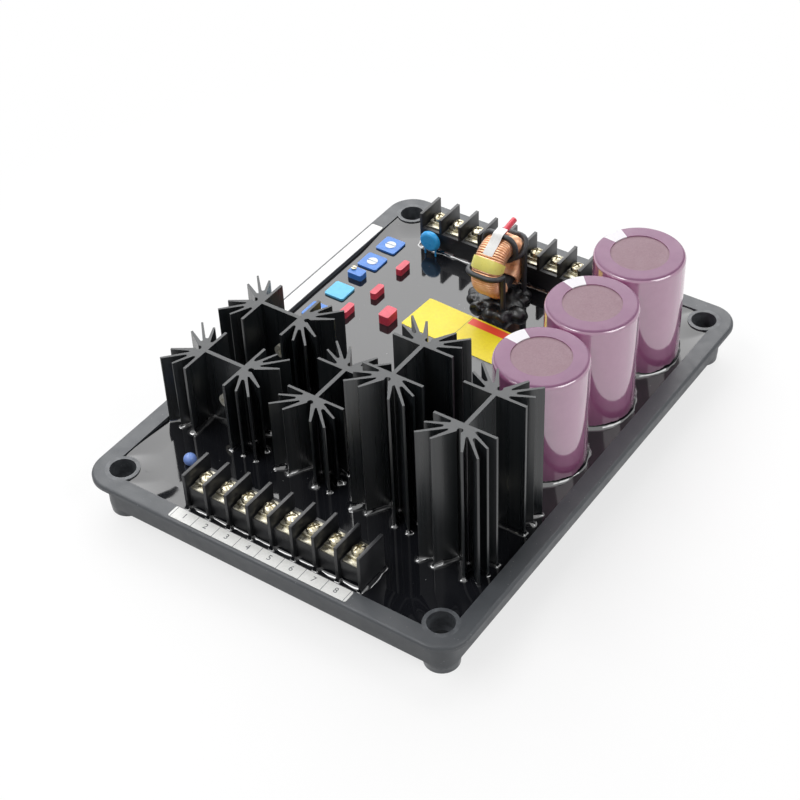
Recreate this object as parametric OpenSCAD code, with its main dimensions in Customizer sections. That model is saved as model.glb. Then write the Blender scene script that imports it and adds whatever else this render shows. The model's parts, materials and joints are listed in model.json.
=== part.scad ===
// Automatic voltage regulator, cast in resin in a shallow moulded tray.
// Millimetres, +Z up. The origin lies on the plane of the feet, midway between the mounting holes.
// X runs along the short side and Y along the long side, with the front terminal strip at -Y.

/* [Tray] */
// Mounting hole spacing along the short side
hole_span_x = 140; // [134:1:170]
// Mounting hole spacing along the long side
hole_span_y = 190; // [184:1:220]
// Radius of the flange's corners, about the mounting holes
corner_r = 11.6; // [10.5:0.1:15]
// Thickness of the flange
flange_t = 2.2; // [1.6:0.1:3]
// Radius on the flange's upper edge
edge_r = 1.2; // [0.4:0.1:1.4]
// Radius of the pan's corners, about the mounting holes
pan_r = 6.8; // [6.6:0.1:7.4]
// Wall of the pan
pan_t = 2.5; // [1.6:0.1:2.6]
// Depth of the pan's underside below the flange's top
pan_depth = 15; // [13:0.25:18]
// Thickness of the floor
floor_t = 2; // [1.2:0.1:3]
// Height of the feet below the pan
foot_h = 3.5; // [2:0.5:10]
// Narrowing of a foot towards its end
foot_draft = 0.3; // [0:0.1:1]
// Radius of a bolt hole
bolt_r = 3; // [2:0.1:3.5]
// Radius of the recess for a bolt's head
head_r = 5; // [4.5:0.1:5.2]
// Depth of the recess for a bolt's head
head_depth = 7; // [4:0.5:12]
// Wall of the tube around a recess
boss_t = 1.5; // [1:0.1:1.6]
// Radius of a pillar that carries the board
pillar_r = 3; // [2:0.5:5]

/* [Board and resin] */
// Thickness of the circuit board
board_t = 1.6; // [1:0.2:2.4]
// Gap between the board and the tray
board_gap = 1; // [0.5:0.1:2]
// Depth of the board's upper face below the flange's top
board_drop = 6; // [5:0.25:7]
// Depth of the resin's surface below the flange's top
resin_drop = 2; // [1:0.25:2.5]

/* [Heat sinks] */
// Length of the cross bar at each end of a heat sink
sink_w = 24.6; // [20:0.2:27]
// Distance between the two cross bars
bar_span = 18.2; // [15:0.2:20]
// Reach of the fanned fins beyond a cross bar
fan_l = 11.6; // [9:0.2:12]
// Thickness of the web
web_t = 1.6; // [1.2:0.1:3]
// Thickness of a cross bar
bar_t = 1.1; // [0.8:0.1:2]
// Thickness of a fin at the end of a slot
fin_root_t = 1.2; // [0.8:0.1:1.5]
// Thickness of a fin at its tip
fin_tip_t = 0.8; // [0.5:0.1:1.2]
// Distance of the screw channel from the cross bar
channel_y = 3.2; // [2.8:0.1:3.6]
// Radius of the screw channel
channel_r = 1.1; // [0.8:0.1:1.2]
// Reach of the solid root between neighbouring fins, from the cross bar to the screw channel
root_reach = [5.7, 7.8, 6.4];
// Height of the two tall heat sinks
tall_h = 63.5; // [50:0.5:76]
// Height of the three short heat sinks
short_h = 35.5; // [30:0.5:50]
// Clearance between the left heat sinks and the tray
sink_edge_gap = 0.8; // [0.3:0.1:3]
// Clearance between the right heat sink and the tray
sink_right_gap = 3.2; // [0.5:0.1:5]
// Distance of the front left heat sink from the middle
sink_1_y = -51.9; // [-54:0.1:-48]
// Distance of the second left heat sink from the middle
sink_2_y = -17.8; // [-20:0.1:-10]
// Middle of the short inner heat sink
sink_3_at = [-11.6, -42.4];
// Middle of the tall inner heat sink
sink_4_at = [24.2, -43.9];
// Distance of the right heat sink from the middle
sink_5_y = -52.5; // [-56:0.1:-50]

/* [Power devices] */
// Width of a device
device_w = 10; // [8:0.2:11]
// Height of a device's moulded body
device_h = 9; // [7:0.2:10]
// Depth of a device's moulded body in front of its tab
device_d = 3.1; // [2:0.1:4]
// Thickness of a device's tab
tab_t = 1.3; // [0.8:0.1:2]
// Height of the tab above the body
tab_h = 6.4; // [6:0.2:8]
// Height of the body above the board
device_lift = 4.5; // [3:0.1:7]
// Spacing of a device's leads
lead_pitch = 2.54; // [2:0.02:3]
// Width of a lead
lead_w = 0.8; // [0.5:0.1:1.2]
// Thickness of a lead
lead_t = 0.5; // [0.3:0.1:0.8]
// Radius of the device screws
device_screw_r = 1.5; // [1.2:0.1:1.7]
// Clearance around the device screws
device_screw_gap = 0.1; // [0.05:0.05:0.3]
// Radius of a device screw's head
device_head_r = 2.8; // [2.4:0.1:3]
// Height of a device screw's head
device_head_h = 2; // [1.4:0.1:2.6]
// Width of a nut across its flats
nut_af = 5.5; // [5:0.1:5.8]
// Height of a nut
nut_h = 2.4; // [1.6:0.1:3]
// Length of thread that stands out of a nut
thread_proud = 0.8; // [0:0.1:2]

/* [Terminal strips] */
// Number of ways in each strip
ways = 8; // [4:1:8]
// Spacing of the ways
pitch = 9.5; // [8.5:0.1:10.4]
// Thickness of a divider
divider_t = 1.3; // [0.8:0.1:1.8]
// Depth of a divider, front to back
strip_d = 14.2; // [13:0.2:16]
// Height of the dividers above the board
divider_h = 20.4; // [18:0.2:24]
// Height of the moulded base above the board
base_h = 13.4; // [11:0.2:14]
// Set-back of the base behind the dividers on the wire side
base_inset = 1.7; // [0.5:0.1:2.4]
// Distance of the front strip's middle from the tray's inner wall
front_strip_set = 9.2; // [8.2:0.1:12]
// Sideways place of the front strip's middle
front_strip_x = 0.4; // [-4:0.1:4]
// Distance of the rear strip's middle from the tray's inner wall
rear_strip_set = 12.3; // [8.2:0.1:13]
// Sideways place of the rear strip's middle
rear_strip_x = -16.9; // [-18:0.1:-14]
// Width of a contact plate
plate_w = 6.6; // [6:0.1:7.6]
// Depth of a contact plate
plate_d = 10.6; // [9:0.1:11]
// Thickness of a contact plate
plate_t = 0.8; // [0.4:0.1:1.2]
// Side of a square clamp washer
washer_w = 6.2; // [5.6:0.1:7.4]
// Thickness of a clamp washer
washer_t = 0.9; // [0.5:0.1:1.2]
// Radius of a terminal screw's head
screw_head_r = 2.7; // [2.4:0.1:3]
// Height of a terminal screw's head
screw_head_h = 2.4; // [1.6:0.1:3]
// Radius of a terminal screw's shank
screw_r = 1.7; // [1.2:0.1:2]
// Depth of a terminal screw in the base
screw_depth = 7; // [4:0.5:10]
// Clearance around a terminal screw
screw_gap = 0.1; // [0.05:0.05:0.3]

/* [Cross recesses] */
// Width of a slot in a screw's cross recess
cross_w = 0.8; // [0.4:0.1:1]
// Depth of a cross recess
cross_depth = 0.9; // [0.4:0.1:1.2]
// Length of a cross recess as a share of the head's diameter
cross_share = 0.6; // [0.4:0.05:0.8]

/* [Large capacitors] */
// Diameter over the sleeve
cap_d = 35; // [30:0.5:36]
// Height above the board
cap_h = 50; // [40:0.5:60]
// Thickness of the shrunk sleeve
sleeve_t = 0.4; // [0.2:0.1:0.8]
// Radius of the sleeve's upper edge
cap_edge_r = 1.8; // [1:0.1:3]
// Width of the sleeve's lip over the top
lip_w = 6.4; // [3:0.2:10]
// Thickness of the insulating disc under the lip
cap_disc_t = 0.6; // [0.3:0.1:1]
// Gap between neighbouring capacitors
cap_gap = 0.8; // [0.3:0.1:2]
// Gap between the capacitors and the tray's inner wall
cap_wall_gap = 3.2; // [1:0.1:4]
// Distance of the middle capacitor from the middle of the tray
cap_mid_y = 31.5; // [28:0.5:36]

/* [Ring choke] */
// Outer radius over the winding
choke_r = 13.4; // [12:0.2:14.4]
// Inner radius of the wound ring
choke_bore_r = 5.4; // [4.4:0.2:6.4]
// Width of the wound ring along its axis
choke_w = 12.8; // [10:0.2:15]
// Thickness of the winding over the core
winding_t = 2.4; // [1.6:0.1:3]
// Corner radius of the winding
winding_r = 3.2; // [1.6:0.1:3.6]
// Half of the bare stretch of the core at its foot, degrees
bare_half = 24; // [15:1:35]
// Height of the ring's lowest point above the resin
choke_lift = 3.8; // [3:0.2:8]
// Sideways place of the choke
choke_x = -7.7; // [-12:0.1:2]
// Gap between the choke and the rear strip
choke_gap = 0.7; // [0.4:0.1:4]
// Diameter of the insulated lead that is wrapped around the ring
choke_lead_d = 2.2; // [1.4:0.1:2.6]
// Diameter of the lead's ends that drop to the resin
lead_end_d = 1.9; // [1.2:0.1:2.1]
// Thickness of the tape band and of the tag
tape_t = 0.3; // [0.2:0.05:0.6]
// Width of the tag
tag_w = 6; // [4:0.5:8]
// Radius of the red sleeve on the choke's upper lead
red_sleeve_r = 1.2; // [0.8:0.1:1.6]
// Length of the red sleeve
red_sleeve_l = 8; // [5:0.5:10]
// Upward tilt of the red sleeve, degrees
red_sleeve_tilt = 22; // [10:1:45]
// Radius of the adhesive mound at the choke's foot
mound_r = 13; // [8:0.5:13.5]

/* [Trimmers] */
// Side of a single-turn trimmer
trimmer_w = 9.5; // [8:0.1:10]
// Height of a single-turn trimmer
trimmer_h = 4.8; // [4.5:0.1:8]
// Radius of a trimmer's rotor
rotor_r = 2.3; // [1.6:0.1:3]
// Depth of a rotor in its well
rotor_depth = 1.6; // [1:0.1:2.4]
// Height of a rotor above the trimmer's face
rotor_proud = 0.2; // [0.1:0.1:0.6]
// Running clearance around a rotor or an adjusting screw
run_gap = 0.06; // [0.04:0.01:0.1]
// Distance of the trimmers' middles from the tray's inner wall
trimmer_set = 8.5; // [6:0.1:10]
// Distances of the three single-turn trimmers from the rear inner wall
trimmer_back = [27, 40.5, 79.8];
// Distance of the blue box capacitor from the rear inner wall
box_back = 64; // [60:0.5:68]
// Length of the multi-turn trimmer
multi_l = 7; // [6:0.1:9]
// Width of the multi-turn trimmer
multi_w = 4.8; // [4:0.1:5]
// Height of the multi-turn trimmer
multi_h = 6.7; // [5:0.1:8]
// Distance of the multi-turn trimmer from the rear inner wall
multi_back = 51.6; // [51:0.1:54]
// Radius of the multi-turn trimmer's screw
multi_screw_r = 1.1; // [0.8:0.1:1.3]
// Height of the multi-turn trimmer's screw above its face
multi_screw_proud = 0.6; // [0.3:0.1:1]
// Place of the screw from the multi-turn trimmer's middle
multi_screw_at = [-2.1, 0.9];
// Width of a screwdriver slot in an adjuster
slot_w = 0.7; // [0.4:0.1:1]
// Depth of a screwdriver slot in an adjuster
slot_depth = 0.5; // [0.3:0.1:0.8]

/* [Small capacitors] */
// Length, width and height of the three small film capacitors
film_size = [3, 7.2, 7];
// Length, width and height of the large film capacitor
film_large_size = [5, 7.2, 8.2];
// Corner radius of the film and box capacitors
film_edge_r = 1; // [0.2:0.1:1.2]
// Distances of the small film capacitors from the left inner wall
film_set = [22.6, 22.8, 19.6];
// Distances of the small film capacitors from the rear inner wall
film_back = [38.5, 57.4, 74];
// Distance of the large film capacitor from the left inner wall
film_large_set = 36; // [34:0.1:42]
// Distance of the large film capacitor from the rear inner wall
film_large_back = 68.7; // [66:0.1:78]
// Side of the blue box capacitor
box_w = 9.3; // [8:0.1:10]
// Height of the blue box capacitor
box_h = 4.9; // [4.5:0.1:8]
// Radius of the disc capacitor
disc_r = 4.7; // [3:0.1:5]
// Thickness of the disc capacitor
disc_t = 3; // [2:0.1:3.6]
// Height of the disc above the resin
disc_lift = 2.2; // [0.5:0.1:4]
// Distance of the disc capacitor from the left inner wall
disc_set = 26; // [22:0.1:30]
// Gap between the disc capacitor and the rear strip
disc_gap = 1.9; // [1:0.1:4]
// Spacing of the leads of the disc and bead capacitors
wire_span = 5; // [2.5:0.1:6]
// Radius of the leads of the disc and bead capacitors
wire_r = 0.4; // [0.3:0.05:0.6]
// Radius of the bead capacitor
bead_r = 2.5; // [2:0.1:3.5]
// Height of the bead's middle above the resin
bead_lift = 1.9; // [1:0.1:2.4]
// Distances of the bead from the left and front inner walls
bead_set = [22.2, 21.4];

/* [Labels] */
// Thickness of the labels
label_t = 0.15; // [0.1:0.05:0.3]
// Width of the front label, across the rim
front_label_w = 5.4; // [4:0.2:5.6]
// Length of the front label beyond the strip at each end
front_label_over = 1; // [0:0.1:2]
// Sideways place of the front label's middle
front_label_x = -1.2; // [-3:0.1:3]
// Width of the side label, across the rim
side_label_w = 5.6; // [4:0.2:5.8]
// Length of the side label
side_label_l = 72; // [40:1:90]
// Distance of the side label's far end from the rear inner wall
side_label_back = 19.8; // [16:0.2:30]
// Length and width of the label on the resin
face_label_size = [58, 20];
// Distance of the face label's middle from the rear inner wall
face_label_back = 59.4; // [57:0.2:64]
// Sideways place of the face label's middle
face_label_x = -3.2; // [-6:0.1:-2]
// Turn of the face label, degrees
face_label_turn = -3; // [-6:0.5:3]
// Corner radius of the labels
label_r = 0.8; // [0.2:0.1:2]

/* [Hidden] */
$fn = 64;

// Overlap that keeps a cut clean
cut = 1;

// Tray outline and levels
hole_x = hole_span_x / 2;
hole_y = hole_span_y / 2;
tray_x = hole_x + corner_r;
tray_y = hole_y + corner_r;
pan_x = hole_x + pan_r;
pan_y = hole_y + pan_r;
field_x = pan_x - pan_t;
field_y = pan_y - pan_t;
rim_z = foot_h + pan_depth;
floor_z = foot_h + floor_t;
boss_r = head_r + boss_t;
board_z = rim_z - board_drop;
resin_z = rim_z - resin_drop;
pillar_h = board_z - board_t - floor_z;
rim_flat_w = tray_x - edge_r - field_x;

// Places of the heat sinks: x, y, turn and height
sink_l = bar_span + 2 * fan_l;
left_sink_x = -field_x + sink_edge_gap + sink_l / 2;
right_sink_x = field_x - sink_right_gap - sink_w / 2;
sinks = [
    [left_sink_x, sink_1_y, -90, short_h],
    [left_sink_x, sink_2_y, -90, short_h],
    [sink_3_at[0], sink_3_at[1], 0, short_h],
    [sink_4_at[0], sink_4_at[1], 0, tall_h],
    [right_sink_x, sink_5_y, 0, tall_h]];

// Fin tips of one half fan, on the outline of the heat sink
fin_tips = [[sink_w / 2, fan_l / 2], [sink_w / 2, fan_l], [sink_w / 4, fan_l]];
// Directions of the cross bar and of the fins of one half fan
fin_angles = [0, for (tip = fin_tips) atan2(tip[1], tip[0])];
// Step of the rounded slot ends, and the angle up to which the screw channel closes, degrees
slot_step = 22.5;
channel_mouth = 45;
// Rounded end of the slot between a fin and the next one
function slot_end(i) =
    let (half = (fin_angles[i + 1] - fin_angles[i]) / 2, mid = fin_angles[i] + half,
        end = root_reach[i] * cos(half), r = root_reach[i] * sin(half) - fin_root_t / 2)
    [for (a = [90 : -slot_step : -90])
        end * [cos(mid), sin(mid)] + r * [cos(mid + 180 + a), sin(mid + 180 + a)]];
// Two corners of a fin's tip
function tip_corners(i) =
    let (a = fin_angles[i + 1], across = fin_tip_t / 2 * [-sin(a), cos(a)])
    [fin_tips[i] - across, fin_tips[i] + across];
// Outline of half a fan, from the web round the cross bar and the fins to the screw channel
half_fan = concat(
    [[web_t / 2, -bar_t / 2], [sink_w / 2, -bar_t / 2], [sink_w / 2, bar_t / 2]],
    [for (i = [0 : len(fin_tips) - 1]) each concat(slot_end(i), tip_corners(i))],
    [for (a = [channel_mouth : -slot_step : -90]) [0, channel_y] + channel_r * [cos(a), sin(a)]]);
// Outline of a whole fan and of the whole section
fan = concat(half_fan, [for (i = [len(half_fan) - 2 : -1 : 0]) [-half_fan[i][0], half_fan[i][1]]]);
sink_outline = [for (end = [1, -1], p = fan) end * [p[0], p[1] + bar_span / 2]];

// Power devices, from the face of the web outwards
tab_face = web_t / 2 + tab_t;
device_screw_z = device_lift + device_h + tab_h / 2;

// Terminal strips
strip_l = ways * pitch;
front_strip_y = -field_y + front_strip_set;
rear_strip_y = field_y - rear_strip_set;
rear_strip_face = rear_strip_y - strip_d / 2;
plate_z = board_z + base_h;
washer_z = plate_z + plate_t;
screw_z = washer_z + washer_t;

// Large capacitors
cap_r = cap_d / 2;
can_r = cap_r - sleeve_t;
cap_x = field_x - cap_wall_gap - cap_r;
cap_pitch = cap_d + cap_gap;
can_h = cap_h - sleeve_t - cap_disc_t;
disc_opening_r = cap_r - lip_w;

// Ring choke: its axis lies along X, and angles run from its foot towards the rear strip
choke_y = rear_strip_face - choke_gap - choke_r;
choke_z = resin_z + choke_lift + choke_r;
core_r = choke_r - winding_t;
core_bore_r = choke_bore_r + winding_t;
core_w = choke_w - 2 * winding_t;
ring_mid_r = (choke_r + choke_bore_r) / 2;
ring_t = choke_r - choke_bore_r;
// Half of the angle that one turn of the lead takes up on the ring
lead_half = asin(choke_lead_d / 2 / choke_r);
lead_turn_angles = [255, 176, 130];
tape_angles = [226, 248];
tag_angles = [182, 222];
red_sleeve_angle = 166;

// Trimmers and small capacitors
trimmer_x = -field_x + trimmer_set;
film_large_at = [-field_x + film_large_set, field_y - film_large_back];
multi_at = [trimmer_x, field_y - multi_back];
box_at = [trimmer_x, field_y - box_back];
disc_at = [-field_x + disc_set, rear_strip_face - disc_gap - disc_t / 2];
disc_z = resin_z + disc_lift + disc_r;
bead_at = [-field_x + bead_set[0], -field_y + bead_set[1]];
bead_z = resin_z + bead_lift;

// Colours
BLACK_PLASTIC = "#2e3033";
RESIN = "#0c0d0f";
BOARD_GREEN = "#1f5a36";
ANODISED = "#1c1e20";
DEVICE_BLACK = "#232426";
STEEL = "#b9b7ad";
BRASS = "#c9bd8e";
SLEEVE_MAUVE = "#8a5f86";
DISC_MAUVE = "#8d7480";
ALUMINIUM = "#b8babd";
COPPER = "#c98a5c";
FERRITE = "#3a3b3d";
TAPE_YELLOW = "#e3e05a";
LEAD_BLACK = "#242628";
WHITE = "#f4f4f2";
RED = "#d63648";
BLUE = "#3f78c4";
SKY_BLUE = "#3f9bdb";
LABEL_YELLOW = "#f2e021";

// Outline of a rectangle with rounded corners
module rounded_rect(size, r) {
    square([size[0] - 2 * r, size[1]], center = true);
    square([size[0], size[1] - 2 * r], center = true);
    for (x = [-1, 1], y = [-1, 1])
        translate([x * (size[0] / 2 - r), y * (size[1] / 2 - r)])
            circle(r = r);
}

module rounded_block(size, r) {
    linear_extrude(size[2])
        rounded_rect([size[0], size[1]], r);
}

// A copy at each mounting hole
module at_holes() {
    for (x = [-hole_x, hole_x], y = [-hole_y, hole_y])
        translate([x, y, 0])
            children();
}

// Half section of the flange, from the middle out to its rounded edge
module flange_section(reach) {
    square([reach - edge_r, flange_t]);
    square([reach, flange_t - edge_r]);
    translate([reach - edge_r, flange_t - edge_r])
        intersection() {
            circle(r = edge_r);
            square(edge_r);
        }
}

module flange_run(reach, run) {
    linear_extrude(run, center = true)
        for (side = [0, 1])
            mirror([side, 0])
                flange_section(reach);
}

module flange() {
    at_holes()
        rotate_extrude()
            flange_section(corner_r);
    rotate([90, 0, 90])
        flange_run(tray_y, 2 * hole_x);
    rotate([90, 0, 0])
        flange_run(tray_x, 2 * hole_y);
}

// Space that the board and the resin take up, around the corner tubes
module tray_cavity(top) {
    difference() {
        translate([-field_x, -field_y, floor_z])
            cube([2 * field_x, 2 * field_y, top - floor_z]);
        at_holes()
            cylinder(r = boss_r, h = rim_z + cut);
    }
}

module board_pillars() {
    for (x = [-1, 1], y = [-1, 0, 1])
        translate([x * hole_x / 2, y * hole_y / 2, floor_z])
            cylinder(r = pillar_r, h = pillar_h);
}

// Pan with a flange around its mouth, recessed bolt holes in its corners and a foot under each
module tray() {
    color(BLACK_PLASTIC) {
        difference() {
            union() {
                translate([0, 0, rim_z - flange_t])
                    flange();
                translate([0, 0, foot_h])
                    linear_extrude(pan_depth - flange_t)
                        rounded_rect([2 * pan_x, 2 * pan_y], pan_r);
                at_holes()
                    cylinder(r1 = pan_r - foot_draft, r2 = pan_r, h = foot_h);
            }
            tray_cavity(rim_z + cut);
            at_holes() {
                translate([0, 0, -cut])
                    cylinder(r = bolt_r, h = rim_z + 2 * cut);
                translate([0, 0, rim_z - head_depth])
                    cylinder(r = head_r, h = head_depth + cut);
            }
        }
        board_pillars();
    }
}

module circuit_board() {
    color(BOARD_GREEN)
        difference() {
            translate([0, 0, board_z - board_t])
                linear_extrude(board_t)
                    square([2 * (field_x - board_gap), 2 * (field_y - board_gap)], center = true);
            at_holes()
                cylinder(r = boss_r + board_gap, h = rim_z);
        }
}

// Everything that stands in the resin is cast in
module resin_fill() {
    color(RESIN)
        difference() {
            tray_cavity(resin_z);
            board_pillars();
            circuit_board();
            for (i = [0 : len(sinks) - 1]) {
                heat_sink(i);
                power_device(i);
            }
            front_terminal_housing();
            rear_terminal_housing();
            for (i = [-1 : 1])
                at_capacitor(i)
                    cylinder(r = cap_r, h = cap_h);
            for (i = [0 : len(trimmer_back) - 1])
                at_trimmer(i)
                    trimmer_outline();
            multiturn_outline();
            for (i = [0 : len(film_back) - 1])
                film_capacitor(i);
            large_film_capacitor();
            box_capacitor();
            disc_capacitor();
            bead_capacitor();
        }
}

// A length of the heat sinks' extrusion, with its web along Y
module sink_bar(h) {
    linear_extrude(h)
        polygon(sink_outline);
}

module at_sink(i) {
    translate([sinks[i][0], sinks[i][1], board_z])
        rotate(sinks[i][2])
            children();
}

// Lies along X through the web, at the height of a device's screw
module device_axis() {
    translate([0, 0, device_screw_z])
        rotate([0, 90, 0])
            children();
}

module heat_sink(i) {
    color(ANODISED)
        at_sink(i)
            difference() {
                sink_bar(sinks[i][3]);
                device_axis()
                    cylinder(r = device_screw_r + device_screw_gap, h = 2 * web_t, center = true);
            }
}

// Three-leaded power device, flat against the web
module power_device(i) {
    color(DEVICE_BLACK)
        at_sink(i) {
            difference() {
                translate([-tab_face, -device_w / 2, device_lift])
                    cube([tab_t, device_w, device_h + tab_h]);
                device_axis()
                    cylinder(r = device_screw_r + device_screw_gap, h = 4 * tab_face, center = true);
            }
            translate([-tab_face - device_d, -device_w / 2, device_lift])
                cube([device_d, device_w, device_h]);
            for (k = [-1 : 1])
                translate([-tab_face - lead_t, k * lead_pitch - lead_w / 2, 0])
                    cube([lead_t, lead_w, device_lift]);
        }
}

// Crossed slots for a screwdriver, cut down from z = 0
module cross_recess(r) {
    for (turn = [0, 90])
        rotate(turn)
            translate([0, 0, (cut - cross_depth) / 2])
                cube([2 * r * cross_share, cross_w, cross_depth + cut], center = true);
}

module device_screws() {
    color(STEEL)
        for (i = [0 : len(sinks) - 1])
            at_sink(i)
                device_axis() {
                    difference() {
                        translate([0, 0, web_t / 2])
                            cylinder(r = device_head_r, h = device_head_h);
                        translate([0, 0, web_t / 2 + device_head_h])
                            cross_recess(device_head_r);
                    }
                    translate([0, 0, -tab_face - nut_h - thread_proud])
                        cylinder(r = device_screw_r, h = web_t / 2 + tab_face + nut_h + thread_proud);
                }
}

module device_nuts() {
    color(STEEL)
        for (i = [0 : len(sinks) - 1])
            at_sink(i)
                device_axis()
                    translate([0, 0, -tab_face - nut_h])
                        difference() {
                            cylinder(d = nut_af / cos(30), h = nut_h, $fn = 6);
                            translate([0, 0, -cut])
                                cylinder(r = device_screw_r + device_screw_gap / 2, h = nut_h + 2 * cut);
                        }
}

// Terminal strip in its own frame: length along X, wire side at -Y, on the board
module terminal_housing() {
    difference() {
        translate([-strip_l / 2, base_inset - strip_d / 2, 0])
            cube([strip_l, strip_d - base_inset, base_h]);
        at_ways()
            translate([0, 0, base_h - screw_depth])
                cylinder(r = screw_r + screw_gap, h = screw_depth + cut);
    }
    for (i = [0 : ways])
        translate([(i - ways / 2) * pitch - divider_t / 2, -strip_d / 2, 0])
            cube([divider_t, strip_d, divider_h]);
}

module at_ways() {
    for (i = [0 : ways - 1])
        translate([(i + 1 / 2 - ways / 2) * pitch, 0, 0])
            children();
}

module contact_plates() {
    at_ways()
        difference() {
            translate([-plate_w / 2, -plate_d / 2, 0])
                cube([plate_w, plate_d, plate_t]);
            translate([0, 0, -cut])
                cylinder(r = screw_r + screw_gap, h = plate_t + 2 * cut);
        }
}

module clamp_washers() {
    at_ways()
        difference() {
            translate([-washer_w / 2, -washer_w / 2, 0])
                cube([washer_w, washer_w, washer_t]);
            translate([0, 0, -cut])
                cylinder(r = screw_r + screw_gap, h = washer_t + 2 * cut);
        }
}

module terminal_screws() {
    at_ways() {
        difference() {
            cylinder(r = screw_head_r, h = screw_head_h);
            translate([0, 0, screw_head_h])
                cross_recess(screw_head_r);
        }
        translate([0, 0, -washer_t - plate_t - screw_depth])
            cylinder(r = screw_r, h = washer_t + plate_t + screw_depth);
    }
}

module at_front_strip(z) {
    translate([front_strip_x, front_strip_y, z])
        children();
}

module at_rear_strip(z) {
    translate([rear_strip_x, rear_strip_y, z])
        rotate(180)
            children();
}

module front_terminal_housing() {
    color(BLACK_PLASTIC) at_front_strip(board_z) terminal_housing();
}

module front_contact_plates() {
    color(STEEL) at_front_strip(plate_z) contact_plates();
}

module front_clamp_washers() {
    color(STEEL) at_front_strip(washer_z) clamp_washers();
}

module front_terminal_screws() {
    color(BRASS) at_front_strip(screw_z) terminal_screws();
}

module rear_terminal_housing() {
    color(BLACK_PLASTIC) at_rear_strip(board_z) terminal_housing();
}

module rear_contact_plates() {
    color(STEEL) at_rear_strip(plate_z) contact_plates();
}

module rear_clamp_washers() {
    color(STEEL) at_rear_strip(washer_z) clamp_washers();
}

module rear_terminal_screws() {
    color(BRASS) at_rear_strip(screw_z) terminal_screws();
}

// Places of the three large capacitors, from front to back: -1, 0 and 1
module at_capacitor(i) {
    translate([cap_x, cap_mid_y + i * cap_pitch, board_z])
        children();
}

// Half section of a round can with a rounded upper edge
module can_section(r, h, edge) {
    square([r - edge, h]);
    square([r, h - edge]);
    translate([r - edge, h - edge])
        circle(r = edge);
}

module capacitor_can(i) {
    color(ALUMINIUM)
        at_capacitor(i)
            rotate_extrude()
                can_section(can_r, can_h, cap_edge_r - sleeve_t);
}

// Insulating disc that lies on the can under the sleeve's lip
module capacitor_disc(i) {
    color(DISC_MAUVE)
        at_capacitor(i)
            translate([0, 0, can_h])
                cylinder(r = can_r - cap_edge_r, h = cap_disc_t);
}

// Shrunk sleeve: a tube with its upper edge drawn in over the disc
module capacitor_sleeve(i) {
    color(SLEEVE_MAUVE)
        at_capacitor(i)
            rotate_extrude()
                difference() {
                    can_section(cap_r, cap_h, cap_edge_r);
                    can_section(can_r, can_h, cap_edge_r - sleeve_t);
                    translate([0, can_h - cut])
                        square([can_r - cap_edge_r, cap_disc_t + cut]);
                    square([disc_opening_r, cap_h + cut]);
                }
}

module at_choke() {
    translate([choke_x, choke_y, choke_z])
        rotate([0, 90, 0])
            children();
}

// Section of the wound ring, with an allowance all around
module ring_section(grow) {
    translate([ring_mid_r, 0])
        rounded_rect([ring_t + 2 * grow, choke_w + 2 * grow], winding_r + grow);
}

// A stretch of a section around the ring between two angles
module around_ring(from, to) {
    rotate(from)
        rotate_extrude(angle = to - from)
            children();
}

module core_section() {
    translate([core_bore_r, -core_w / 2])
        square([core_r - core_bore_r, core_w]);
}

module choke_core() {
    color(FERRITE)
        at_choke()
            rotate_extrude()
                core_section();
}

module choke_winding() {
    color(COPPER)
        at_choke()
            around_ring(bare_half, 360 - bare_half)
                difference() {
                    ring_section(0);
                    core_section();
                }
}

module ring_band(from, to, t) {
    around_ring(from, to)
        difference() {
            ring_section(t);
            ring_section(0);
        }
}

module choke_tape() {
    color(TAPE_YELLOW)
        at_choke()
            ring_band(tape_angles[0], tape_angles[1], tape_t);
}

// A lead that drops from the ring's right side to the resin
module lead_tail(a) {
    translate([choke_x + (choke_w + choke_lead_d) / 2, choke_y + sin(a) * ring_mid_r, resin_z])
        cylinder(d = lead_end_d, h = choke_z - cos(a) * ring_mid_r - resin_z);
}

// Insulated lead wrapped around the near side, the top and the far side of the ring
module choke_lead_turns() {
    color(LEAD_BLACK) {
        at_choke()
            for (a = lead_turn_angles)
                ring_band(a - lead_half, a + lead_half, choke_lead_d);
        lead_tail(lead_turn_angles[0]);
        lead_tail(lead_turn_angles[2]);
    }
}

module choke_tag() {
    color(WHITE)
        at_choke()
            around_ring(tag_angles[0], tag_angles[1])
                translate([choke_r, -tag_w / 2])
                    square([tape_t, tag_w]);
}

// Sleeve on the end of the choke's upper lead, leaning back over the ring
module choke_red_sleeve() {
    color(RED)
        at_choke()
            rotate(red_sleeve_angle)
                translate([choke_r + red_sleeve_r, 0, 0])
                    rotate([90, 0, 0])
                        rotate([0, red_sleeve_tilt, 0])
                            cylinder(r = red_sleeve_r, h = red_sleeve_l);
}

// Mound of adhesive that carries the ring's foot
module choke_adhesive() {
    color(LEAD_BLACK)
        difference() {
            translate([choke_x, choke_y, resin_z])
                rotate_extrude()
                    intersection() {
                        translate([mound_r - choke_lift - winding_t, 0])
                            circle(r = choke_lift + winding_t);
                        square([mound_r, choke_lift + winding_t]);
                    }
            at_choke()
                rotate_extrude()
                    ring_section(0);
            choke_lead_turns();
        }
}

module at_trimmer(i) {
    translate([trimmer_x, field_y - trimmer_back[i], board_z])
        children();
}

module trimmer_outline() {
    rounded_block([trimmer_w, trimmer_w, trimmer_h], film_edge_r);
}

// Square trimmer with a round well for its rotor
module trimmer_body(i) {
    color(BLUE)
        at_trimmer(i)
            difference() {
                trimmer_outline();
                translate([0, 0, trimmer_h - rotor_depth])
                    cylinder(r = rotor_r + run_gap, h = rotor_depth + cut);
            }
}

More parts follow.
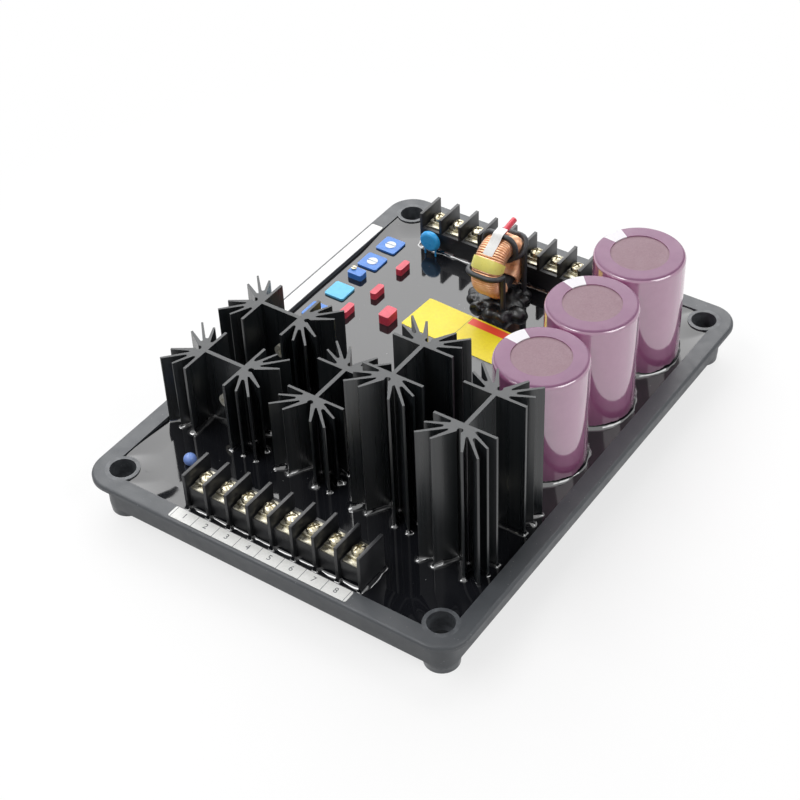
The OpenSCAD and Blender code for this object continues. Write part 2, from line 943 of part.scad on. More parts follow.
// Rotor with a screwdriver slot
module trimmer_rotor(i) {
    color(WHITE)
        at_trimmer(i)
            translate([0, 0, trimmer_h - rotor_depth + run_gap])
                adjuster(rotor_r, rotor_depth - run_gap + rotor_proud);
}

module adjuster(r, h) {
    difference() {
        cylinder(r = r, h = h);
        translate([-r - cut, -slot_w / 2, h - slot_depth])
            cube([2 * (r + cut), slot_w, slot_depth + cut]);
    }
}

module multiturn_outline() {
    translate([multi_at[0], multi_at[1], board_z])
        rounded_block([multi_l, multi_w, multi_h], film_edge_r);
}

module multiturn_screw_place(z) {
    translate([multi_at[0] + multi_screw_at[0], multi_at[1] + multi_screw_at[1], board_z + z])
        children();
}

module multiturn_trimmer_body() {
    color(BLUE)
        difference() {
            multiturn_outline();
            multiturn_screw_place(multi_h - rotor_depth)
                cylinder(r = multi_screw_r + run_gap, h = rotor_depth + cut);
        }
}

module multiturn_trimmer_screw() {
    color(BRASS)
        multiturn_screw_place(multi_h - rotor_depth + run_gap)
            adjuster(multi_screw_r, rotor_depth - run_gap + multi_screw_proud);
}

module film_capacitor(i) {
    color(RED)
        translate([-field_x + film_set[i], field_y - film_back[i], board_z])
            rounded_block(film_size, film_edge_r);
}

module large_film_capacitor() {
    color(RED)
        translate([film_large_at[0], film_large_at[1], board_z])
            rounded_block(film_large_size, film_edge_r);
}

module box_capacitor() {
    color(SKY_BLUE)
        translate([box_at[0], box_at[1], board_z])
            rounded_block([box_w, box_w, box_h], film_edge_r);
}

// Two wires from the board up to a dipped capacitor's body
module wire_pair(top) {
    for (side = [-1, 1])
        translate([side * wire_span / 2, 0, 0])
            cylinder(r = wire_r, h = top - board_z);
}

// Dipped disc, standing on its leads with its flat sides front and back
module disc_capacitor() {
    color(SKY_BLUE) {
        translate([disc_at[0], disc_at[1], disc_z])
            rotate([90, 0, 0])
                rotate_extrude()
                    can_half_lens(disc_r, disc_t);
        translate([disc_at[0], disc_at[1], board_z])
            wire_pair(disc_z);
    }
}

// Half section of a dipped disc: flat sides and a full round edge
module can_half_lens(r, t) {
    translate([0, -t / 2])
        square([r - t / 2, t]);
    intersection() {
        translate([r - t / 2, 0])
            circle(r = t / 2);
        translate([0, -t / 2])
            square([r, t]);
    }
}

// Dipped bead that stands half in the resin
module bead_capacitor() {
    color(BLUE) {
        translate([bead_at[0], bead_at[1], bead_z])
            sphere(r = bead_r);
        translate([bead_at[0], bead_at[1], board_z])
            cylinder(r = wire_r, h = bead_z - board_z);
    }
}

module label(size) {
    linear_extrude(label_t)
        rounded_rect(size, label_r);
}

// Number strip on the rim in front of the front terminals
module front_label() {
    color(WHITE)
        translate([front_label_x, -field_y - rim_flat_w / 2, rim_z])
            label([strip_l + 2 * front_label_over, front_label_w]);
}

// Plain strip on the rim beside the trimmers
module side_label() {
    color(WHITE)
        translate([-field_x - rim_flat_w / 2, field_y - side_label_back - side_label_l / 2, rim_z])
            label([side_label_w, side_label_l]);
}

// Coloured label that lies on the resin
module face_label() {
    color(LABEL_YELLOW)
        translate([face_label_x, field_y - face_label_back, resin_z])
            rotate(face_label_turn)
                label(face_label_size);
}

tray();
resin_fill();
circuit_board();
heat_sink(0);  // heat_sink_1
heat_sink(1);  // heat_sink_2
heat_sink(2);  // heat_sink_3
heat_sink(3);  // heat_sink_4
heat_sink(4);  // heat_sink_5
power_device(0);  // power_device_1
power_device(1);  // power_device_2
power_device(2);  // power_device_3
power_device(3);  // power_device_4
power_device(4);  // power_device_5
device_screws();
device_nuts();
front_terminal_housing();
front_contact_plates();
front_clamp_washers();
front_terminal_screws();
rear_terminal_housing();
rear_contact_plates();
rear_clamp_washers();
rear_terminal_screws();
capacitor_can(-1);  // capacitor_can_1
capacitor_can(0);  // capacitor_can_2
capacitor_can(1);  // capacitor_can_3
capacitor_sleeve(-1);  // capacitor_sleeve_1
capacitor_sleeve(0);  // capacitor_sleeve_2
capacitor_sleeve(1);  // capacitor_sleeve_3
capacitor_disc(-1);  // capacitor_disc_1
capacitor_disc(0);  // capacitor_disc_2
capacitor_disc(1);  // capacitor_disc_3
choke_core();
choke_winding();
choke_tape();
choke_lead_turns();
choke_tag();
choke_red_sleeve();
choke_adhesive();
trimmer_body(0);  // trimmer_body_1
trimmer_body(1);  // trimmer_body_2
trimmer_body(2);  // trimmer_body_3
trimmer_rotor(0);  // trimmer_rotor_1
trimmer_rotor(1);  // trimmer_rotor_2
trimmer_rotor(2);  // trimmer_rotor_3
multiturn_trimmer_body();
multiturn_trimmer_screw();
film_capacitor(0);  // film_capacitor_1
film_capacitor(1);  // film_capacitor_2
film_capacitor(2);  // film_capacitor_3
large_film_capacitor();  // film_capacitor_4
box_capacitor();
disc_capacitor();
bead_capacitor();
front_label();
side_label();
face_label();
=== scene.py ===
"""Looks of an automatic voltage regulator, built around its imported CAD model.

The regulator is a shallow black tray, filled with cast resin, from which heat sinks, capacitors,
a ring choke, trimmers and two screw terminal strips stand up. Sizes in the classes are millimetres
in the part's own frame: the origin lies on the plane of the feet, midway between the mounting holes.
"""

import json
import logging
import math
from collections.abc import Callable
from dataclasses import dataclass
from enum import Enum
from functools import lru_cache

import bmesh
import bpy
from mathutils import Matrix, Vector, noise

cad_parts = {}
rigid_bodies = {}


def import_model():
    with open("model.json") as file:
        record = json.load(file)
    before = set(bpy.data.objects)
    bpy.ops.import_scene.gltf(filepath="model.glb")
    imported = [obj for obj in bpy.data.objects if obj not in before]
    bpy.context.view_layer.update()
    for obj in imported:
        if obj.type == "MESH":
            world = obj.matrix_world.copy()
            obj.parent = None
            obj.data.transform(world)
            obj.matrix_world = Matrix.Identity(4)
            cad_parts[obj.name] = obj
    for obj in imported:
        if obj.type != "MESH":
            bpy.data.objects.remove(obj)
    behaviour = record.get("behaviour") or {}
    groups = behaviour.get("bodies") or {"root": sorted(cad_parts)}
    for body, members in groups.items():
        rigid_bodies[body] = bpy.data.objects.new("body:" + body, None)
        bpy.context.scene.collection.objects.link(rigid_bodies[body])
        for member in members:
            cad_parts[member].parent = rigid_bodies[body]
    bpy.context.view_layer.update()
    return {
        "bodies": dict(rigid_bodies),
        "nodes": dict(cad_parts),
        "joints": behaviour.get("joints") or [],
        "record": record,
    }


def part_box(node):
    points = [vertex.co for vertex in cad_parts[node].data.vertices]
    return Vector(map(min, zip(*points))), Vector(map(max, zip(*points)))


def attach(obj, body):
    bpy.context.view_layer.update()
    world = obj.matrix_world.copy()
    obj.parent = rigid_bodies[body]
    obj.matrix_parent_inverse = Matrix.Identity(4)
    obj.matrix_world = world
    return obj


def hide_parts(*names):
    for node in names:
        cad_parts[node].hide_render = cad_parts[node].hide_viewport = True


Thing = bpy.types.Object
Tree = bpy.types.NodeTree
Socket = bpy.types.NodeSocket
Outputs = bpy.types.NodeOutputs
Loop = list[bmesh.types.BMVert]
Pair = tuple[float, float]
Triple = tuple[float, float, float]

MM = 0.001
LOG = logging.getLogger("regulator")
BASE_BODY = "regulator"
COAT_ROUGHNESS = 0.06
# Vertices nearer than this are one, and those nearer than the second lie on a cutting plane, in metres
SAME_PLACE = 0.002 * MM
ON_PLANE = 0.001 * MM
# Angles in degrees: faces that count as one, edges that count as sharp, turns of an outline that count as corners
FLAT, SHARP, CORNER = 1.0, 30.0, 35.0
# Parts of a noise's range over which a colour drifts, and over which another value varies
DRIFT = (0.36, 0.66)
SPAN = (0.3, 0.7)


class Strip(Enum):
    """The two terminal strips."""

    FRONT = "front"
    REAR = "rear"


def linear(colour: str) -> tuple[float, float, float, float]:
    """Turns an sRGB hex colour into linear values.

    Args:
        colour: Six hex digits after a hash.

    Returns:
        Linear red, green, blue and an alpha of 1.
    """
    parts = [int(colour[i : i + 2], 16) / 255 for i in (1, 3, 5)]
    r, g, b = (p / 12.92 if p <= 0.04045 else ((p + 0.055) / 1.055) ** 2.4 for p in parts)
    return r, g, b, 1.0


def per_mm(size: float) -> float:
    """Gives the texture scale at which one period of a pattern is size millimetres."""
    return 1 / (size * MM)


def add_node(tree: Tree, kind: str, inputs: dict | None = None, **settings) -> Outputs:
    """Adds a node with its settings, and fills or links its inputs.

    Args:
        tree: Node tree that gets the node.
        kind: Blender's name of the node's type.
        inputs: Input names or indices, each with a value or with the socket it is linked to.
        **settings: Properties of the node.

    Returns:
        The new node's outputs.
    """
    node = tree.nodes.new(kind)
    for key, value in settings.items():
        setattr(node, key, value)
    for key, value in (inputs or {}).items():
        if isinstance(value, Socket):
            tree.links.new(value, node.inputs[key])
        else:
            node.inputs[key].default_value = value
    return node.outputs


def turned(tree: Tree, coords: Socket, centre: Pair, turn: float) -> Outputs:
    """Gives coordinates from a place in plan, turned about it.

    Args:
        tree: Node tree.
        coords: Object coordinates.
        centre: The place in millimetres.
        turn: The turn in degrees.

    Returns:
        Sockets X, Y and Z.
    """
    place = {"Location": (centre[0] * MM, centre[1] * MM, 0.0), "Rotation": (0.0, 0.0, math.radians(turn))}
    flat = add_node(tree, "ShaderNodeMapping", {"Vector": coords, **place}, vector_type="TEXTURE")[0]
    return add_node(tree, "ShaderNodeSeparateXYZ", {0: flat})


# ---------------------------------------------------------------------------------------------
# Finishes
# ---------------------------------------------------------------------------------------------


@dataclass(frozen=True)
class Finish:
    """A surface: its material, and how it was made.

    Attributes:
        name: Plain name of the material and its surface.
        colour: Main colour, sRGB hex.
        roughness: Microscopic roughness of the shader.
        metallic: 1 for bare metal, less under enamel or dulled plating.
        specular: Strength of the dielectric reflection, 0.5 for a typical IOR.
        coat: Strength of a clear layer on top.
        coat_ior: IOR of the clear layer.
    """

    name: str
    colour: str
    roughness: float
    metallic: float = 0.0
    specular: float = 0.5
    coat: float = 0.0
    coat_ior: float = 1.5

    def material(self) -> bpy.types.Material:
        """Makes the material.

        Returns:
            A new Blender material.
        """
        made = bpy.data.materials.new(self.name)
        made.use_nodes = True
        tree = made.node_tree
        shader = tree.nodes["Principled BSDF"]
        for name, value in (
            ("Base Color", linear(self.colour)),
            ("Roughness", self.roughness),
            ("Metallic", self.metallic),
            ("Specular IOR Level", self.specular),
            ("Coat Weight", self.coat),
            ("Coat Roughness", COAT_ROUGHNESS),
            ("Coat IOR", self.coat_ior),
        ):
            shader.inputs[name].default_value = value
        coords = add_node(tree, "ShaderNodeTexCoord")["Object"]
        for name, socket in self.paint(tree, coords).items():
            tree.links.new(socket, shader.inputs[name])
        return made

    def paint(self, tree: Tree, coords: Socket) -> dict[str, Socket]:
        """Adds the finish's own patterns, and gives sockets by the names of the shader's inputs."""
        return {}

    def skin(
        self, tree: Tree, coords: Socket, other: str, patch: float, gloss: Triple, grain: Pair | None = None
    ) -> dict[str, Socket]:
        """Lets colour, gloss and relief vary as on most surfaces.

        Args:
            tree: The material's node tree.
            coords: Coordinates of the patterns.
            other: The other colour, sRGB hex.
            patch: Size of the patches of colour in millimetres.
            gloss: Size of the patches of gloss in millimetres, and how far the roughness falls and rises.
            grain: Width and height of a grain in millimetres, None for a smooth skin.

        Returns:
            Sockets by the names of the shader's inputs that they go to.
        """
        size, less, more = gloss
        made = {
            "Base Color": self.mottled(tree, coords, patch, other),
            "Roughness": self.uneven(tree, coords, size, self.roughness - less, self.roughness + more),
        }
        if grain:
            made["Normal"] = self.relief(tree, coords, *grain)
        return made

    def mottled(self, tree: Tree, coords: Socket, size: float, other: str) -> Socket:
        """Lets the colour drift between the finish's own and another.

        Args:
            tree: The material's node tree.
            coords: Coordinates of the pattern.
            size: Size of the patches in millimetres.
            other: The other colour, sRGB hex.

        Returns:
            The colour's socket.
        """
        cloud = {"Vector": coords, "Scale": per_mm(size), "Detail": 5.0, "Roughness": 0.6}
        drift = {0: add_node(tree, "ShaderNodeTexNoise", cloud)[0], 1: DRIFT[0], 2: DRIFT[1]}
        share = add_node(tree, "ShaderNodeMapRange", drift)[0]
        colours = {0: share, 6: linear(self.colour), 7: linear(other)}
        return add_node(tree, "ShaderNodeMix", colours, data_type="RGBA")[2]

    def uneven(self, tree: Tree, coords: Socket, size: float, low: float, high: float) -> Socket:
        """Lets a value such as the roughness vary in patches.

        Args:
            tree: The material's node tree.
            coords: Coordinates of the pattern.
            size: Size of the patches in millimetres.
            low: Lowest value.
            high: Highest value.

        Returns:
            The value's socket.
        """
        cloud = {"Vector": coords, "Scale": per_mm(size), "Detail": 6.0}
        span = {0: add_node(tree, "ShaderNodeTexNoise", cloud)[0], 1: SPAN[0], 2: SPAN[1], 3: low, 4: high}
        return add_node(tree, "ShaderNodeMapRange", span)[0]

    def relief(self, tree: Tree, coords: Socket, size: float, depth: float) -> Socket:
        """Raises a grain.

        Args:
            tree: The material's node tree.
            coords: Coordinates of the pattern.
            size: Width of a grain in millimetres.
            depth: Height of a grain in millimetres.

        Returns:
            The normal's socket.
        """
        cloud = {"Vector": coords, "Scale": per_mm(size), "Detail": 3.0}
        height = add_node(tree, "ShaderNodeTexNoise", cloud)[0]
        grain = {"Height": height, "Distance": depth * MM, "Strength": 1.0}
        return add_node(tree, "ShaderNodeBump", grain)["Normal"]

    def dusted(
        self, tree: Tree, coords: Socket, ground: Socket, spacing: float, speck: float, dust: str
    ) -> Socket:
        """Strews specks of dust over a colour.

        Args:
            tree: The material's node tree.
            coords: Coordinates of the pattern.
            ground: Socket of the colour below.
            spacing: Mean distance of the specks in millimetres.
            speck: Radius of a speck in millimetres.
            dust: Colour of the dust, sRGB hex.

        Returns:
            The colour's socket.
        """
        cells = add_node(tree, "ShaderNodeTexVoronoi", {"Vector": coords, "Scale": per_mm(spacing)})
        size = add_node(tree, "ShaderNodeMath", {0: cells["Color"], 1: speck / spacing}, operation="MULTIPLY")[0]
        within = add_node(tree, "ShaderNodeMath", {0: cells["Distance"], 1: size}, operation="LESS_THAN")[0]
        return add_node(tree, "ShaderNodeMix", {0: within, 6: ground, 7: linear(dust)}, data_type="RGBA")[2]


@dataclass(frozen=True)
class MouldedPlastic(Finish):
    """Injection-moulded plastic from a spark-eroded tool: a satin skin with a fine, even grain.

    Attributes:
        worn: Colour of its rubbed and dusty patches.
        grain: Width of the tool's grain in millimetres.
        depth: Height of the grain in millimetres.
        dust_spacing: Distance of dust specks in millimetres, 0 for none.
        speck: Radius of a speck in millimetres.
        dust: Colour of the dust.
        patch: Size of the rubbed patches in millimetres.
        gloss: Size of the patches of gloss in millimetres, and how far the roughness falls and rises.
    """

    worn: str = "#45484c"
    # A sparked grain is about 0.1 mm wide and dust is finer: both are drawn coarser so that they show
    grain: float = 0.5
    depth: float = 0.012
    dust_spacing: float = 0.0
    speck: float = 0.24
    dust: str = "#74777a"
    patch: float = 14.0
    gloss: Triple = (5.0, 0.08, 0.08)

    def paint(self, tree: Tree, coords: Socket) -> dict[str, Socket]:
        """Adds rubbed patches, grain and dust.

        Args:
            tree: The material's node tree.
            coords: Object coordinates.

        Returns:
            Sockets by the names of the shader's inputs that they go to.
        """
        made = self.skin(tree, coords, self.worn, self.patch, self.gloss, (self.grain, self.depth))
        if self.dust_spacing:
            clean = made["Base Color"]
            made["Base Color"] = self.dusted(tree, coords, clean, self.dust_spacing, self.speck, self.dust)
        return made


@dataclass(frozen=True)
class BoltedTray(MouldedPlastic):
    """The tray's plastic, rubbed pale on the rings round its four bolt holes.

    Attributes:
        holes: Half of the bolt pattern's length and width in millimetres.
        ring: Inner and outer radius of the rubbed ring in millimetres.
        rubbed: Colour of the ring.
        rub: Size of the rubbed patches on it in millimetres, and the least and greatest share of the colour.
    """

    holes: Pair = (70.0, 95.0)
    ring: Pair = (4.9, 6.7)
    rubbed: str = "#626569"
    rub: Triple = (3.0, -0.3, 1.0)

    def paint(self, tree: Tree, coords: Socket) -> dict[str, Socket]:
        """Adds the rubbed rings to the moulded plastic.

        Args:
            tree: The material's node tree.
            coords: Object coordinates.

        Returns:
            Sockets by the names of the shader's inputs that they go to.
        """
        made = super().paint(tree, coords)
        x, y = self.holes
        place = coords
        for operation, *other in (("ABSOLUTE",), ("SUBTRACT", (x * MM, y * MM, 0.0)), ("MULTIPLY", (1.0, 1.0, 0.0))):
            inputs = dict(enumerate([place, *other]))
            place = add_node(tree, "ShaderNodeVectorMath", inputs, operation=operation)[0]
        reach = add_node(tree, "ShaderNodeVectorMath", {0: place}, operation="LENGTH")["Value"]
        middle, half = sum(self.ring) / 2, (self.ring[1] - self.ring[0]) / 2
        near = add_node(tree, "ShaderNodeMath", {0: reach, 1: middle * MM, 2: half * MM}, operation="COMPARE")[0]
        patches = {0: near, 1: self.uneven(tree, coords, *self.rub)}
        share = add_node(tree, "ShaderNodeMath", patches, operation="MULTIPLY", use_clamp=True)[0]
        colours = {0: share, 6: made["Base Color"], 7: linear(self.rubbed)}
        made["Base Color"] = add_node(tree, "ShaderNodeMix", colours, data_type="RGBA")[2]
        return made


@dataclass(frozen=True)
class CastResin(Finish):
    """Epoxy poured liquid and cured: a mirror with slow ripples and settled dust.

    Attributes:
        haze: Colour of its hazy places.
        patch: Size of the hazy places in millimetres.
        gloss: Size of the patches of gloss in millimetres, and how far the roughness falls and rises.
        ripple: Width and height of the ripples in millimetres.
        dust_spacing: Distance of dust specks in millimetres.
        speck: Radius of a speck in millimetres.
        dust: Colour of the dust.
    """

    haze: str = "#1b1c20"
    patch: float = 30.0
    gloss: Triple = (22.0, 0.03, 0.04)
    ripple: Pair = (16.0, 0.035)
    # Real dust is finer than 0.1 mm: drawn coarser so that it shows
    dust_spacing: float = 3.2
    speck: float = 0.2
    dust: str = "#8a8c8c"

    def paint(self, tree: Tree, coords: Socket) -> dict[str, Socket]:
        """Adds ripples, faint haze and dust.

        Args:
            tree: The material's node tree.
            coords: Object coordinates.

        Returns:
            Sockets by the names of the shader's inputs that they go to.
        """
        made = self.skin(tree, coords, self.haze, self.patch, self.gloss, self.ripple)
        clean = made["Base Color"]
        made["Base Color"] = self.dusted(tree, coords, clean, self.dust_spacing, self.speck, self.dust)
        return made


@dataclass(frozen=True)
class AnodisedExtrusion(Finish):
    """Extruded aluminium, sawn to length and black anodised: die lines along it, and paler level tops, partly the
    sawn metal and partly painted sheen.

    Attributes:
        streak: Colour of the streaks along the bar.
        streak_w: Width of a streak in millimetres.
        gloss: Size of the patches of gloss in millimetres, and how far the roughness falls and rises.
        die_line: Width and height of a die line in millimetres.
        die_stretch: Share to which height is pressed together, which draws lines out along the bar.
        sawn: Colour of the level tops, paler partly as sawn metal and partly as painted sheen.
        sawn_roughness: Roughness of the sawn ends.
        saw_mark: Width of a saw mark in millimetres.
        saw_dark: Colour between the saw marks.
        saw_stretch: Share to which X is pressed together, which draws saw marks out along it.
        level: Upward parts of the normal between which a face turns from side to level top, which takes the sawn
            colour with its painted sheen.
    """

    streak: str = "#232527"
    # Die lines and saw marks are about 0.1 mm wide: drawn coarser so that they show
    streak_w: float = 0.9
    gloss: Triple = (1.4, 0.07, 0.08)
    die_line: Pair = (0.8, 0.012)
    die_stretch: float = 0.012
    # Paler than the sides partly as sawn metal and partly as painted sheen from the lamps behind
    sawn: str = "#3b3d3f"
    sawn_roughness: float = 0.62
    saw_mark: float = 0.5
    saw_dark: str = "#2a2c2d"
    saw_stretch: float = 0.05
    level: Pair = (0.8, 0.97)

    def paint(self, tree: Tree, coords: Socket) -> dict[str, Socket]:
        """Adds die lines along the height, and on the level tops saw marks and a paler colour that is partly painted
        sheen.

        Args:
            tree: The material's node tree.
            coords: Object coordinates.

        Returns:
            Sockets by the names of the shader's inputs that they go to.
        """
        along, across = (
            add_node(tree, "ShaderNodeMapping", {"Vector": coords, "Scale": scale})[0]
            for scale in ((1.0, 1.0, self.die_stretch), (self.saw_stretch, 1.0, 1.0))
        )
        facing = add_node(tree, "ShaderNodeNewGeometry")["Normal"]
        up = add_node(tree, "ShaderNodeSeparateXYZ", {0: facing})["Z"]
        # Only upward faces turn paler: the sawn colour there is partly painted sheen
        ends = add_node(tree, "ShaderNodeMapRange", {0: up, 1: self.level[0], 2: self.level[1]})[0]
        made = self.skin(tree, along, self.streak, self.streak_w, self.gloss, self.die_line)
        scratched = {"Vector": across, "Scale": per_mm(self.saw_mark), "Detail": 4.0}
        marks = add_node(tree, "ShaderNodeTexNoise", scratched)[0]
        saw = {0: marks, 6: linear(self.sawn), 7: linear(self.saw_dark)}
        sawn = add_node(tree, "ShaderNodeMix", saw, data_type="RGBA")[2]
        colours = {0: ends, 6: made["Base Color"], 7: sawn}
        made["Base Color"] = add_node(tree, "ShaderNodeMix", colours, data_type="RGBA")[2]
        rough = {0: ends, 2: made["Roughness"], 3: self.sawn_roughness}
        made["Roughness"] = add_node(tree, "ShaderNodeMix", rough)[0]
        return made


@dataclass(frozen=True)
class ShrunkSleeve(Finish):
    """PVC sleeve shrunk over a capacitor's can: glossy, with a white stripe that marks the pole.

    Attributes:
        centre: Axis of the capacitor in plan, millimetres.
        stripe: Direction of the stripe in degrees.
        stripe_half: Half of the angle that the stripe takes up.
        top: Height of the shoulder, below which the stripe carries bars.
        bar_step: Distance of the bars in millimetres.
        bar_half: Half of a bar's height as a share of their distance.
        bar_reach: Width of a bar as a share of the stripe's.
        fade: Share of the stripe's half at which its edge is fully white.
        pale: Colour of the stripe.
        bar: Colour of the bars.
        thick: Colour of the sleeve's thicker places.
        patch: Size of the thicker places in millimetres.
        gloss: Size of the patches of gloss in millimetres, and how far the roughness falls and rises.
        wave: Width and height of the sleeve's waves in millimetres.
    """

    centre: Pair = (0.0, 0.0)
    stripe: float = 155.0
    stripe_half: float = 15.0
    top: float = 59.0
    bar_step: float = 13.0
    bar_half: float = 0.07
    bar_reach: float = 0.55
    fade: float = 0.97
    pale: str = "#dcd9de"
    bar: str = "#6a4566"
    thick: str = "#7d5171"
    patch: float = 9.0
    gloss: Triple = (6.0, 0.05, 0.06)
    wave: Pair = (7.0, 0.02)

    def paint(self, tree: Tree, coords: Socket) -> dict[str, Socket]:
        """Adds the stripe, its bars and the sleeve's slight unevenness.

        Args:
            tree: The material's node tree.
            coords: Object coordinates.

        Returns:
            Sockets by the names of the shader's inputs that they go to.
        """
        axes = turned(tree, coords, self.centre, self.stripe)
        around = add_node(tree, "ShaderNodeMath", {0: axes["Y"], 1: axes["X"]}, operation="ARCTAN2")[0]
        off = add_node(tree, "ShaderNodeMath", {0: around}, operation="ABSOLUTE")[0]
        half = math.radians(self.stripe_half)
        steps = {0: axes["Z"], 1: per_mm(self.bar_step)}
        along = add_node(tree, "ShaderNodeMath", steps, operation="MULTIPLY")[0]
        part = add_node(tree, "ShaderNodeMath", {0: along}, operation="FRACT")[0]
        marked = add_node(tree, "ShaderNodeMath", {0: part, 1: 0.5, 2: self.bar_half}, operation="COMPARE")[0]
        for place, limit in ((off, half * self.bar_reach), (axes["Z"], self.top * MM)):
            within = add_node(tree, "ShaderNodeMath", {0: place, 1: limit}, operation="LESS_THAN")[0]
            marked = add_node(tree, "ShaderNodeMath", {0: marked, 1: within}, operation="MULTIPLY")[0]
        bars = {0: marked, 6: linear(self.pale), 7: linear(self.bar)}
        stripe = add_node(tree, "ShaderNodeMix", bars, data_type="RGBA")[2]
        made = self.skin(tree, coords, self.thick, self.patch, self.gloss, self.wave)
        striped = add_node(tree, "ShaderNodeMapRange", {0: off, 1: half, 2: half * self.fade})[0]
        colours = {0: striped, 6: made["Base Color"], 7: stripe}
        made["Base Color"] = add_node(tree, "ShaderNodeMix", colours, data_type="RGBA")[2]
        return made


@dataclass(frozen=True)
class Sheet(Finish):
    """Thin pressed sheet, paper or film: matt, with fine fibres.

    Attributes:
        other: Colour of the paler or darker fibres.
        fibre: Size of the fibres in millimetres.
        gloss: Size of the patches of gloss in millimetres, and how far the roughness falls and rises.
        tooth: Height of the fibres in millimetres.
    """

    other: str = "#ffffff"
    # Fibres are a few hundredths of a millimetre wide: drawn coarser so that they show
    fibre: float = 0.7
    gloss: Triple = (3.0, 0.06, 0.06)
    tooth: float = 0.006

    def paint(self, tree: Tree, coords: Socket) -> dict[str, Socket]:
        """Adds fibres and a faint tooth."""
        return self.skin(tree, coords, self.other, self.fibre, self.gloss, (self.fibre, self.tooth))


@dataclass(frozen=True)
class CellLabel(Sheet):
    """White label strip divided into one cell for each terminal.

    Attributes:
        start: Place of a cell's left edge along X, millimetres.
        pitch: Width of a cell in millimetres.
        rule: Width of the printed line between cells in millimetres.
        ink: Colour of the printed line.
    """

    start: float = 0.0
    pitch: float = 9.5
    rule: float = 0.22
    ink: str = "#6f7275"

    def paint(self, tree: Tree, coords: Socket) -> dict[str, Socket]:
        """Adds the printed lines between cells to the paper.

        Args:
            tree: The material's node tree.
            coords: Object coordinates.

        Returns:
            Sockets by the names of the shader's inputs that they go to.
        """
        made = super().paint(tree, coords)
        along = add_node(tree, "ShaderNodeSeparateXYZ", {0: coords})["X"]
        counted = {0: along, 1: per_mm(self.pitch), 2: 0.5 - self.start / self.pitch}
        cells = add_node(tree, "ShaderNodeMath", counted, operation="MULTIPLY_ADD")[0]
        part = add_node(tree, "ShaderNodeMath", {0: cells}, operation="FRACT")[0]
        ruled = {0: part, 1: 0.5, 2: self.rule / self.pitch / 2}
        line = add_node(tree, "ShaderNodeMath", ruled, operation="COMPARE")[0]
        colours = {0: line, 6: made["Base Color"], 7: linear(self.ink)}
        made["Base Color"] = add_node(tree, "ShaderNodeMix", colours, data_type="RGBA")[2]
        return made


@dataclass(frozen=True)
class BandLabel(Sheet):
    """Yellow label with a plain red band along part of its far edge and one printed rule.

    Attributes:
        centre: Middle of the label in plan, millimetres.
        turn: Turn of the label in degrees.
        band_from: Left end of the band from the label's middle, millimetres.
        band_low: Near edge of the band from the label's middle, millimetres.
        band_high: Far edge of the band from the label's middle, millimetres.
        rule_off: Distance of the rule from the band's end, millimetres.
        rule_half: Half of the rule's width, millimetres.
        band_ink: Colour of the band.
        rule_ink: Colour of the rule.
    """

    centre: Pair = (0.0, 0.0)
    turn: float = 0.0
    band_from: float = -7.0
    band_low: float = 5.2
    band_high: float = 9.2
    rule_off: float = 0.4
    rule_half: float = 0.12
    band_ink: str = "#e8432c"
    rule_ink: str = "#8a7a1c"

    def paint(self, tree: Tree, coords: Socket) -> dict[str, Socket]:
        """Adds the band and the rule to the paper.

        Args:
            tree: The material's node tree.
            coords: Object coordinates.

        Returns:
            Sockets by the names of the shader's inputs that they go to.
        """
        made = super().paint(tree, coords)
        axes = turned(tree, coords, self.centre, self.turn)
        begins = {0: axes["X"], 1: self.band_from * MM}
        right = add_node(tree, "ShaderNodeMath", begins, operation="GREATER_THAN")[0]
        middle, half = (self.band_low + self.band_high) / 2, (self.band_high - self.band_low) / 2
        across = {0: axes["Y"], 1: middle * MM, 2: half * MM}
        high = add_node(tree, "ShaderNodeMath", across, operation="COMPARE")[0]
        lies = {0: axes["X"], 1: (self.band_from - self.rule_off) * MM, 2: self.rule_half * MM}
        rule = add_node(tree, "ShaderNodeMath", lies, operation="COMPARE")[0]
        band = add_node(tree, "ShaderNodeMath", {0: right, 1: high}, operation="MULTIPLY")[0]
        for share, colour in ((rule, self.rule_ink), (band, self.band_ink)):
            colours = {0: share, 6: made["Base Color"], 7: linear(colour)}
            made["Base Color"] = add_node(tree, "ShaderNodeMix", colours, data_type="RGBA")[2]
        return made


@dataclass(frozen=True)
class PlatedMetal(Finish):
    """Turned or stamped metal with a thin plating: bright, with fine scratches and dull spots.

    Attributes:
        tarnish: Colour of the dull spots.
        spot: Size of the dull spots in millimetres.
        gloss: Size of the patches of gloss in millimetres, and how far the roughness falls and rises.
        scratch: Width and height of the scratches in millimetres.
    """

    tarnish: str = "#8d8468"
    spot: float = 1.6
    gloss: Triple = (0.9, 0.08, 0.14)
    # Real scratches are a few hundredths of a millimetre wide: drawn coarser so that they show
    scratch: Pair = (0.45, 0.01)

    def paint(self, tree: Tree, coords: Socket) -> dict[str, Socket]:
        """Adds dull spots and scratches."""
        return self.skin(tree, coords, self.tarnish, self.spot, self.gloss, self.scratch)


@dataclass(frozen=True)
class EnamelledCopper(Finish):
    """Copper wire under clear enamel: metal with a glossy skin, redder where the enamel is thick.

    Attributes:
        thick: Colour under thick enamel.
        patch: Size of the patches of thick enamel in millimetres.
        gloss: Size of the patches of gloss in millimetres, and how far the roughness falls and rises.
    """

    thick: str = "#d99a6c"
    patch: float = 4.0
    gloss: Triple = (2.0, 0.06, 0.1)

    def paint(self, tree: Tree, coords: Socket) -> dict[str, Socket]:
        """Adds patches of thicker enamel."""
        return self.skin(tree, coords, self.thick, self.patch, self.gloss)


